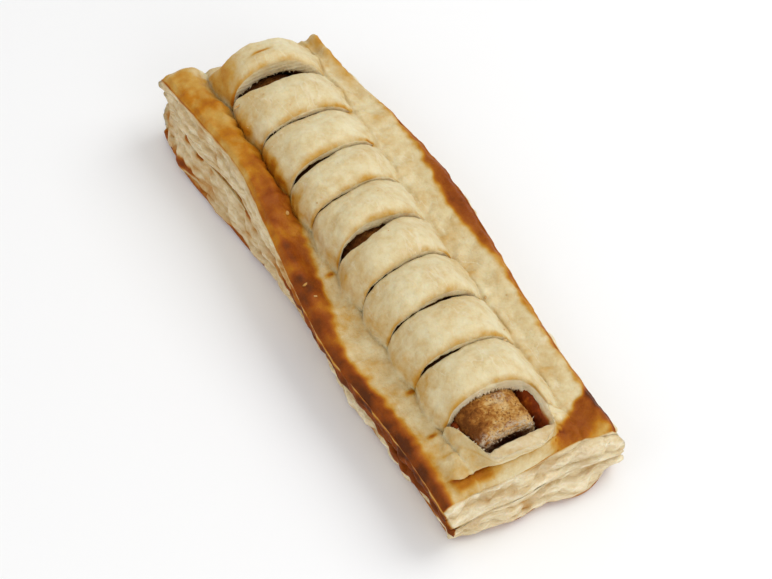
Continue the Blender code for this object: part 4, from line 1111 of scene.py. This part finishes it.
def crust_bake(u, x, y, z, band, share, is_top):
    """How browned the upper crust is."""
    inner = np.clip(2 * np.abs(u) - 1, 0, 1)
    left = inner * (u < 0)
    w = np.clip(2 * u, -1, 1)
    warp_x = x + 0.8 * hills(x, y, z, 3.0, 61)
    warp_y = y + 0.8 * hills(x, y, z, 3.0, 63)

    # pale bands and borders, and a mottled brown ridge on the left with a pale outer rim
    ridge = RIDGE_BAKE + climbed(-y, *RIDGE_CLIMBS) + 0.15 * hills(0.35 * x, y, 0, 6.0, 65)
    ridge = ridge + 0.08 * hills(x, 0.8 * y, 0, 2.6, 67)
    ridge = ridge + RIDGE_EDGE_BAKE * ramp(left, 0.55, 1.0) * (1 - ramp(y, -10, 40))
    border = np.where(u > 0, RIGHT_BORDER_BAKE, LEFT_BORDER_BAKE) * ramp(inner, 0.0, 0.1)
    # the bands' left ends are more golden: partly their own tone, partly painted shade on the side turned
    # from the key lamp
    plain = BAND_BAKE + border + BAND_LEFT_TONE_AND_SHADE_BAKE * (np.abs(w) < 1) * ramp(-w, 0.35, 0.95)
    bake = mix(plain, ridge, ramp(brown_left_x(y) - warp_x, -1.6, 1.8))
    pale_rim = ramp(left + 0.07 * hills(0, y, 0, 6, 97), 0.76, 1.0)
    bake = bake - PALE_RIM_BAKE * pale_rim * ramp(y, -16, 8) * (1 - ramp(y, 38, 58))

    # a thin brown edge on the right, and a brown corner at the near right
    width = RIGHT_BROWN_WIDTH + bulged(y, (RIGHT_BROWN_WIDEST,))
    right_edge = 1 - ramp(lid_right_x(y) - warp_x, width - 1.2, width + 1.8)
    right_edge = right_edge * ramp(-y, -56, -44) * (1 - 0.5 * swell(y, -23, 2.5))
    bake = bake + (RIGHT_EDGE_BAKE + bulged(y, (RIGHT_EDGE_DARKEST,))) * right_edge
    beyond = CORNER_SLOPE[0] * (np.minimum(warp_x, 26) - CORNER_X) + CORNER_SLOPE[1] * (warp_y - CORNER_Y)
    corner = ramp(beyond, -0.9, 1.8) * (1 - 0.6 * ramp(beyond, 5, 11)) * ramp(warp_x, 3, 15)
    bake = bake + CORNER_BAKE * corner

    # the ledge in front of the window: a brown streak on its roll, partly browning and partly painted shade
    # of the valley, painted shade in its crease, and its torn rim
    ledge = (band == 0) * is_top
    streak_and_shade = ramp(warp_x, -22.5, -19.5) * (1 - 0.65 * ramp(warp_x, -13, 3)) * (1 - ramp(warp_x, 9, 16))
    streak_and_shade = streak_and_shade * ramp(share, 0.05, 0.2) * (1 - ramp(share, 0.275, 0.31))
    # painted shade in the crease, and browning along the torn rim
    in_tear = CREASE_SHADE_BAKE * swell(share, CREASE_SHARE + 0.01, 0.03) + RIM_BAKE * swell(share, 0.71, 0.03)
    bake = bake + ledge * (STREAK_AND_SHADE_BAKE * streak_and_shade + front_tear(u) * in_tear)
    bake = bake + CRACK_BAKE * rim_cracks(x, y) * is_top

    # lips of the bands, a browner left half of the cap, and painted shade in the grooves at the bands' feet
    on_band = (band >= 1) * (np.abs(w) < 1)
    lip = swell(share * BAND_LENGTH, 0.1, 0.6) * (0.8 + 0.6 * hills(x, y, 0, 5, 69))
    bake = bake + LIP_BAKE * on_band * is_top * lip
    bake = bake + 0.09 * (band == len(CUTS)) * ramp(-warp_x, -2, 9) * on_band
    # painted shade: the grooves at the bands' feet are browned where shade falls in them
    bake = bake + 0.10 * swell(np.abs(u), 0.5, 0.03) * (band >= 1) * is_top

    for marks, mark_x, mark_y in ((BLURRED_MARKS, warp_x, warp_y), (CLEAR_MARKS, x, y)):
        for *place, amount in marks:
            bake = bake + amount * patch(mark_x, mark_y, *place)
    return bake + 0.05 * ramp(-y, 58, 66) * (x < -10) + 0.05 * hills(x, y, z, 6, 71)


def dress_lid(u, v, depth, side, x, y, z):
    """Relief and colour of the lid: glazed crust above, leaves on the cut sides."""
    v = whole_rows(v)
    band, share = band_place(v, side)
    w = np.clip(2 * u, -1, 1)
    at_end = lid_ends(v) != 0
    outer = at_end | (np.abs(u) > 0.999)
    between = (depth > 0.0) & (depth < 1.0)
    is_top = depth == 0
    in_cut = (between | (depth > 0.999)) & ~outer
    near_left = (u < -0.999) * (1 - ramp(y, -20, 25))
    rim_cut = (band == 0) * is_top * front_tear(u) * ramp(window_share(u), 0.1, 0.3) * ramp(share, 0.72, 0.77)

    along = along_side(u, at_end, x, y)
    count, leaf_out = leaves(along, z, 41, at_end * 1.0)
    wall_out = leaf_out * ramp(depth, 0.04, 0.16) * (1 - 0.75 * near_left)
    out = np.where(outer & between, wall_out, 0.0)
    out = np.where(is_top, lid_relief(u, x, y, z), out)
    torn_grain = 0.16 * hills(x, 0, z, 1.1, 101) + 0.10 * hills(0.3 * x, 0, z, 0.9, 103)
    out = np.where(in_cut & between, torn_grain * ramp(depth, 0.0, 0.15), out)
    out = out - (RIM_CUT_DEPTH - 0.2 * hills(x, y, z, 1.4, 109)) * rim_cut
    out = out - CRACK_DEPTH * rim_cracks(x, y) * is_top

    bake = crust_bake(u, x, y, z, band, share, is_top)
    wall_bake = CUT_BAKE + 0.14 * (u < -0.999) * ramp(y, 0, 40) + 0.10 * hills(along, z, 0, 5, 73)
    # painted shade: the hollows between the puffed leaves are browned to stand in for the shade that falls in
    # them
    wall_bake = wall_bake + (WALL_HOLLOW_SHADE_BAKE + WALL_END_HOLLOW_SHADE_BAKE * at_end) * ramp(-leaf_out, -0.2, 1.3)
    wall_bake = wall_bake + (bake - 0.14) * (1 - ramp(depth, 0.0, 0.09)) + 0.25 * ramp(depth, 0.9, 1.0)
    wall_bake = wall_bake + LEFT_WALL_BAKE * near_left * ramp(depth, 0.03, 0.2)
    rim_bake = np.where(side < 0, NEAR_RIM_BAKE, FAR_RIM_BAKE)
    # painted shade: the torn faces darken lower down, in the shaded gap under each lip
    face_bake = np.where(v == 1, rim_bake, FACE_BAKE) + DEEP_FACE_SHADE_BAKE * ramp(depth, 0.4, 0.6)
    face_bake = face_bake + 0.08 * hills(x, y, z, 3, 75)
    # painted light: the left of the cap's torn face is made paler where it lies in the key lamp's shadow
    face_bake = face_bake - 0.09 * (v == len(CUTS)) * (side > 0) * ramp(-w, 0.1, 0.6)
    bake = np.where(outer & between, wall_bake, bake)
    bake = np.where(in_cut, face_bake, bake)

    by_window = 1 - ramp(y, -60, -54)
    leaf = ramp(depth, 0.02, 0.1) * (1 - near_left) * np.where(outer, 1.0, 0.55)
    return out, {
        "bake": bake,
        "leaf": np.where(between, leaf, 0.6 * rim_cut),
        "layer": np.where(outer, count, np.where(band == len(CUTS), z / 1.6, 0.5)),
        "sauce": np.where(in_cut, mix(0.75, 1.0, by_window) * ramp(depth, 0.5, 0.7), 0.0),
        # painted shade: the lower torn faces of the slashes away from the window are darkened
        "deep_shade": np.where(in_cut, (1 - by_window) * ramp(depth, 0.55, 0.9), 0.0),
    }


def lid_columns():
    dome = [-0.5 + column / DOME_COLUMNS for column in range(DOME_COLUMNS + 1)]
    return [*BORDER_PLACES, *dome, *(-place for place in reversed(BORDER_PLACES))]


def lid_rows():
    rows = list(LEDGE_ROWS)
    for band in range(1, len(CUTS)):
        rows.extend(band + share for share in BAND_ROWS)
    rows.extend(len(CUTS) + share for share in CAP_ROWS)
    return rows + [float(len(CUTS) + 1)]


def slash(sheet):
    """Parts the sheet along its cuts, and marks each side of a cut as near (-1) or far (1)."""
    cut_edges = []
    for edge in sheet.edges:
        first, second = edge.verts
        level = first.co.y == second.co.y
        on_cut = level and first.co.y % 1 == 0 and 0 < first.co.y < len(CUTS) + 1
        last = WINDOW_RIGHT_W / 2 if first.co.y == 1 else 0.5
        leftmost, rightmost = sorted((first.co.x, second.co.x))
        if on_cut and leftmost > -0.501 and rightmost < last + 0.001:
            cut_edges.append(edge)
    side_layer = sheet.verts.layers.float.new("side")
    bmesh.ops.split_edges(sheet, edges=cut_edges)
    for vertex in sheet.verts:
        beyond = [face.calc_center_median().y > vertex.co.y for face in vertex.link_faces]
        if vertex.is_boundary and len(set(beyond)) == 1:
            vertex[side_layer] = 1.0 if beyond[0] else -1.0


def on_rim(place):
    return abs(place.x) > 0.999 or place.y < 0.001 or place.y > len(CUTS) + 0.999


lid_sheet = new_sheet(lid_columns(), lid_rows())
slash(lid_sheet)
lid_rings = [(on_rim, LID_SIDE_RINGS), (lambda place: not on_rim(place), LID_CUT_RINGS)]
thicken(lid_sheet, True, LID_CUTS, lid_rings)
lid = settle(lid_sheet, "slashed_lid", place_lid, dress_lid)
lid.data.materials.append(pastry_material("lid_crust", 0.9))
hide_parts("pastry_lid")


# ---------------------------------------------------------------------------------------------
# Torn shreds and loose flakes: where the slashes opened, the baked layers tore into short pale
# fibres along the cut face, and handling has left a few flakes and crumbs lying on the crust.

WINDOW_SHREDS, RIM_SHREDS, SLASH_SHREDS = 260, 60, 28
SHREDDED_SLASHES = (4, 8, 9)           # the slashes that gape enough to show their fibres
LOOK_DOWN_Z = 80.0                     # well above the roll, in millimetres
CRUMB_COUNT, CRUMB_SIZES, CRUMB_X, CRUMB_Y = 26, (0.25, 0.6), (-20, 24), (-80, 80)
FLAKES = (
    # x, y, length, width and thickness, turn in degrees
    (-25.2, -4.4, (1.7, 0.8, 0.5), 20),
    (-24.3, -8.9, (1.1, 0.6, 0.4), -35),
    (-18.4, 20.1, (1.6, 1.1, 0.3), 70),
    (-13.6, 61.5, (4.6, 0.7, 0.4), 12),
    (13.1, -49.5, (1.3, 0.9, 0.4), 15),
    (18.0, -31.0, (1.2, 0.6, 0.4), 50),
    (28.6, -74.0, (1.4, 0.9, 0.4), -20),
)
chance = np.random.default_rng(7)


def point_on_lid(u, v, depth, side):
    """A point of the lid, in millimetres, before the small relief is added."""
    place = place_lid(*(np.array([float(value)]) for value in (u, v, depth, side)))
    return Vector([float(value[0]) for value in place])


def add_spike(mesh, root, tip, width):
    """A thin five-sided fibre from its root to its tip."""
    along = tip - root
    turn = along.to_track_quat("Z", "Y").to_matrix().to_4x4()
    place = Matrix.Translation((root + tip) / 2) @ turn @ Matrix.Diagonal((1.0, 0.55, 1.0, 1.0))
    bmesh.ops.create_cone(
        mesh, cap_ends=True, segments=5, radius1=width, radius2=0.15 * width,
        depth=along.length, matrix=place,
    )


def hang_shred(u, number, depths, start, sideways, forward, drop, widths):
    """One fibre hanging from the torn face on the far side of a slash."""
    root = point_on_lid(u, number, chance.uniform(*depths), 1)
    hang = Vector((chance.normal(0, sideways), chance.uniform(*forward), -chance.uniform(*drop)))
    add_spike(shreds, root + Vector(start), root + hang, chance.uniform(*widths))


def finish_bits(mesh, name, material):
    """Scales the bits to metres, centres them as the roll is, and adds them to the scene."""
    centre = Matrix.Translation((-CENTRE_X, -CENTRE_Y, 0.0))
    bmesh.ops.transform(mesh, matrix=Matrix.Scale(MM, 4) @ centre, verts=mesh.verts[:])
    data = bpy.data.meshes.new(name)
    mesh.to_mesh(data)
    mesh.free()
    data.shade_smooth()
    data.materials.append(material)
    piece = bpy.data.objects.new(name, data)
    bpy.context.scene.collection.objects.link(piece)
    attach(piece, "root")


def bits_material(name, light, dark):
    material, tree, shader, height = food_surface(name, 0.5, 0.0003, 0.2)
    tone = cloudy(tree, 240.0, 3.0)
    colour = blended(tree, stretch(tree, tone, 0.35, 0.65), (*light, 1.0), (*dark, 1.0))
    tree.links.new(colour, shader.inputs["Base Color"])
    tree.links.new(stretch(tree, tone, 0.3, 0.7, 0.55, 0.8), shader.inputs["Roughness"])
    tree.links.new(cloudy(tree, 1400.0, 2.0), height)
    return material


shreds = bmesh.new()
for number in range(WINDOW_SHREDS):
    share = (number + chance.random()) / WINDOW_SHREDS
    u = 0.5 * mix(WINDOW_LEFT_W + 0.04, WINDOW_RIGHT_W - 0.06, share)
    hang_shred(u, 1, (0.38, 0.5), (0.0, 0.15, 0.25), 0.35, (-0.5, 0.3), (0.5, 1.5), (0.14, 0.34))
for _ in range(RIM_SHREDS):
    u = 0.5 * chance.uniform(WINDOW_LEFT_W + 0.05, -0.52)
    root = point_on_lid(u, 1, 0.05, -1)
    lean = Vector((chance.uniform(0.2, 0.9), chance.uniform(-0.3, 0.5), -chance.uniform(0.0, 0.6)))
    add_spike(shreds, root + Vector((-0.2, 0.0, -0.1)), root + lean, chance.uniform(0.15, 0.35))
for number in SHREDDED_SLASHES:
    for _ in range(SLASH_SHREDS):
        u = 0.5 * chance.uniform(-0.7, 0.75)
        hang_shred(u, number, (0.4, 0.5), (0.0, 0.1, 0.2), 0.3, (-0.3, 0.2), (0.3, 0.8), (0.12, 0.26))
torn_pastry = bits_material("torn_pastry", (0.74, 0.65, 0.46), (0.66, 0.52, 0.31))
finish_bits(shreds, "torn_shreds", torn_pastry)


def add_flake(mesh, place, size, turn):
    """A small rough flake, flattened and turned about Z by so many degrees."""
    made = bmesh.ops.create_icosphere(mesh, subdivisions=2, radius=0.5)
    lie = Matrix.Rotation(np.radians(turn), 4, "Z") @ Matrix.Diagonal((*size, 1.0))
    for vertex in made["verts"]:
        spot = (np.array([3.0 * value + place[0]]) for value in vertex.co)
        rough = 1 + 0.35 * float(hills(*spot, 1.0, 91)[0])
        vertex.co = lie @ (vertex.co * rough) + Vector(place)


def height_on(piece, x, y):
    """Height of a piece's upper surface at a place, or None beside the piece."""
    above = Vector((x - CENTRE_X, y - CENTRE_Y, LOOK_DOWN_Z)) * MM
    hit, spot, _, _ = piece.ray_cast(above, Vector((0.0, 0.0, -1.0)))
    return spot.z / MM if hit else None


def crust_height(x, y):
    """Height of the upper crust, or of the seam where the lid is open or ends."""
    return height_on(lid, x, y) or SEAM_Z


flakes = bmesh.new()
for x, y, size, turn in FLAKES:
    add_flake(flakes, (x, y, crust_height(x, y) + 0.15), size, turn)
for _ in range(CRUMB_COUNT):
    x, y, grain = chance.uniform(*CRUMB_X), chance.uniform(*CRUMB_Y), chance.uniform(*CRUMB_SIZES)
    place = (x, y, crust_height(x, y) + 0.05)
    add_flake(flakes, place, (grain, 0.7 * grain, 0.4 * grain), chance.uniform(0, 180))
loose_crumbs = bits_material("loose_crumbs", (0.66, 0.46, 0.22), (0.47, 0.24, 0.06))
finish_bits(flakes, "loose_flakes", loose_crumbs)


# ---------------------------------------------------------------------------------------------
# Juice and fat: meat juice has run out of the sausage and baked dark against the pastry, and
# the cut edge of the meat carries short pale threads of set fat.

JUICE_POOLS = (
    # middle, half length along each axis
    ((9.3, -68.5, 19.5), (2.4, 10.5, 5.2)),
    ((-11.3, 61.6, 24.2), (3.0, 4.2, 2.8)),
    ((-11.6, -67.0, 18.8), (1.6, 3.4, 3.0)),
)
JUICE_STEPS = (
    (0.3, (0.08, 0.012, 0.002)),
    (0.5, (0.20, 0.032, 0.003)),
    (0.7, (0.38, 0.095, 0.008)),
)
THREAD_COUNT, THREAD_X = 150, (-9.5, 6.5)


def juice_material():
    material, tree, shader, height = food_surface("baked_juice", 0.7, 0.0006, 0.08)
    tone = cloudy(tree, 320.0, 4.0, 0.6)
    tree.links.new(colour_steps(tree, tone, JUICE_STEPS), shader.inputs["Base Color"])
    tree.links.new(stretch(tree, tone, 0.3, 0.7, 0.6, 0.85), shader.inputs["Roughness"])
    tree.links.new(cloudy(tree, 700.0, 3.0), height)
    return material


juice = bmesh.new()
for middle, size in JUICE_POOLS:
    made = bmesh.ops.create_icosphere(juice, subdivisions=5, radius=1.0)
    for vertex in made["verts"]:
        spot = Vector(middle) + Vector([share * length for share, length in zip(vertex.co, size)])
        rough = float(hills(*(np.array([value]) for value in spot), 1.6, 105)[0])
        vertex.co = spot + 0.35 * rough * vertex.co
finish_bits(juice, "baked_juice", juice_material())

threads = bmesh.new()
for _ in range(THREAD_COUNT):
    x, y = chance.uniform(*THREAD_X), SAUSAGE_NEAR_Y + abs(chance.normal(0.2, 0.9))
    lies_on = height_on(sausage, x, y)
    if lies_on is not None:
        root = Vector((x, y, lies_on - 0.1))
        lean = Vector((chance.normal(0, 0.6), chance.normal(-0.2, 0.4), chance.uniform(0.0, 0.5)))
        add_spike(threads, root, root + lean, chance.uniform(0.10, 0.24))
set_fat = bits_material("set_fat", (0.64, 0.54, 0.40), (0.50, 0.36, 0.20))
finish_bits(threads, "fat_threads", set_fat)


# ---------------------------------------------------------------------------------------------
# Floor, light and camera: a white table, a broad soft lamp from the right and behind, and a
# camera that looks down along the roll from the window's end.

LAMPS = (
    # name, place in metres, power in watts, side of the square lamp
    ("key_light", (0.55, -0.05, 0.68), 3.3, 0.6),
    ("front_light", (0.0, -0.8, 0.35), 1.9, 0.7),
    ("left_light", (-0.7, 0.0, 0.5), 1.0, 0.7),
)
AZIMUTH, ELEVATION = np.radians(-28.3869), np.radians(51.5454)
DISTANCE, LENS, SENSOR_WIDTH = 0.575707, 93.13, 36.0
AIM_HEIGHT, AIM_RIGHT, AIM_UP = 15.0, 2.63612, -9.71085

bpy.ops.mesh.primitive_plane_add(size=6.0, location=(0.0, 0.0, 0.0))
floor = bpy.context.object
floor.name = "table_top"
white = bpy.data.materials.new("table_white")
white.use_nodes = True
paint = white.node_tree.nodes["Principled BSDF"]
paint.inputs["Base Color"].default_value = (0.9, 0.9, 0.9, 1.0)
paint.inputs["Roughness"].default_value = 0.8
floor.data.materials.append(white)

for name, place, power, size in LAMPS:
    light = bpy.data.lights.new(name, "AREA")
    light.energy = power
    light.size = size
    lamp = bpy.data.objects.new(name, light)
    lamp.location = place
    lamp.rotation_euler = (-Vector(place)).to_track_quat("-Z", "Y").to_euler()
    bpy.context.scene.collection.objects.link(lamp)

world = bpy.data.worlds.new("studio")
world.use_nodes = True
background = world.node_tree.nodes["Background"]
background.inputs["Color"].default_value = (1.0, 1.0, 1.0, 1.0)
background.inputs["Strength"].default_value = 0.67
bpy.context.scene.world = world
bpy.context.scene.view_settings.view_transform = "Standard"

level = np.cos(ELEVATION)
right = Vector((np.cos(AZIMUTH), np.sin(AZIMUTH), 0.0))
back = Vector((np.sin(AZIMUTH) * level, -np.cos(AZIMUTH) * level, np.sin(ELEVATION)))
up = back.cross(right)
target = (Vector((-CENTRE_X, -CENTRE_Y, AIM_HEIGHT)) + right * AIM_RIGHT + up * AIM_UP) * MM
turn = Matrix((right, up, back)).transposed().to_4x4()
camera = bpy.data.objects.new("camera", bpy.data.cameras.new("camera"))
camera.data.lens = LENS
camera.data.sensor_width = SENSOR_WIDTH
camera.matrix_world = Matrix.Translation(target + back * DISTANCE) @ turn
bpy.context.scene.collection.objects.link(camera)
bpy.context.scene.camera = camera
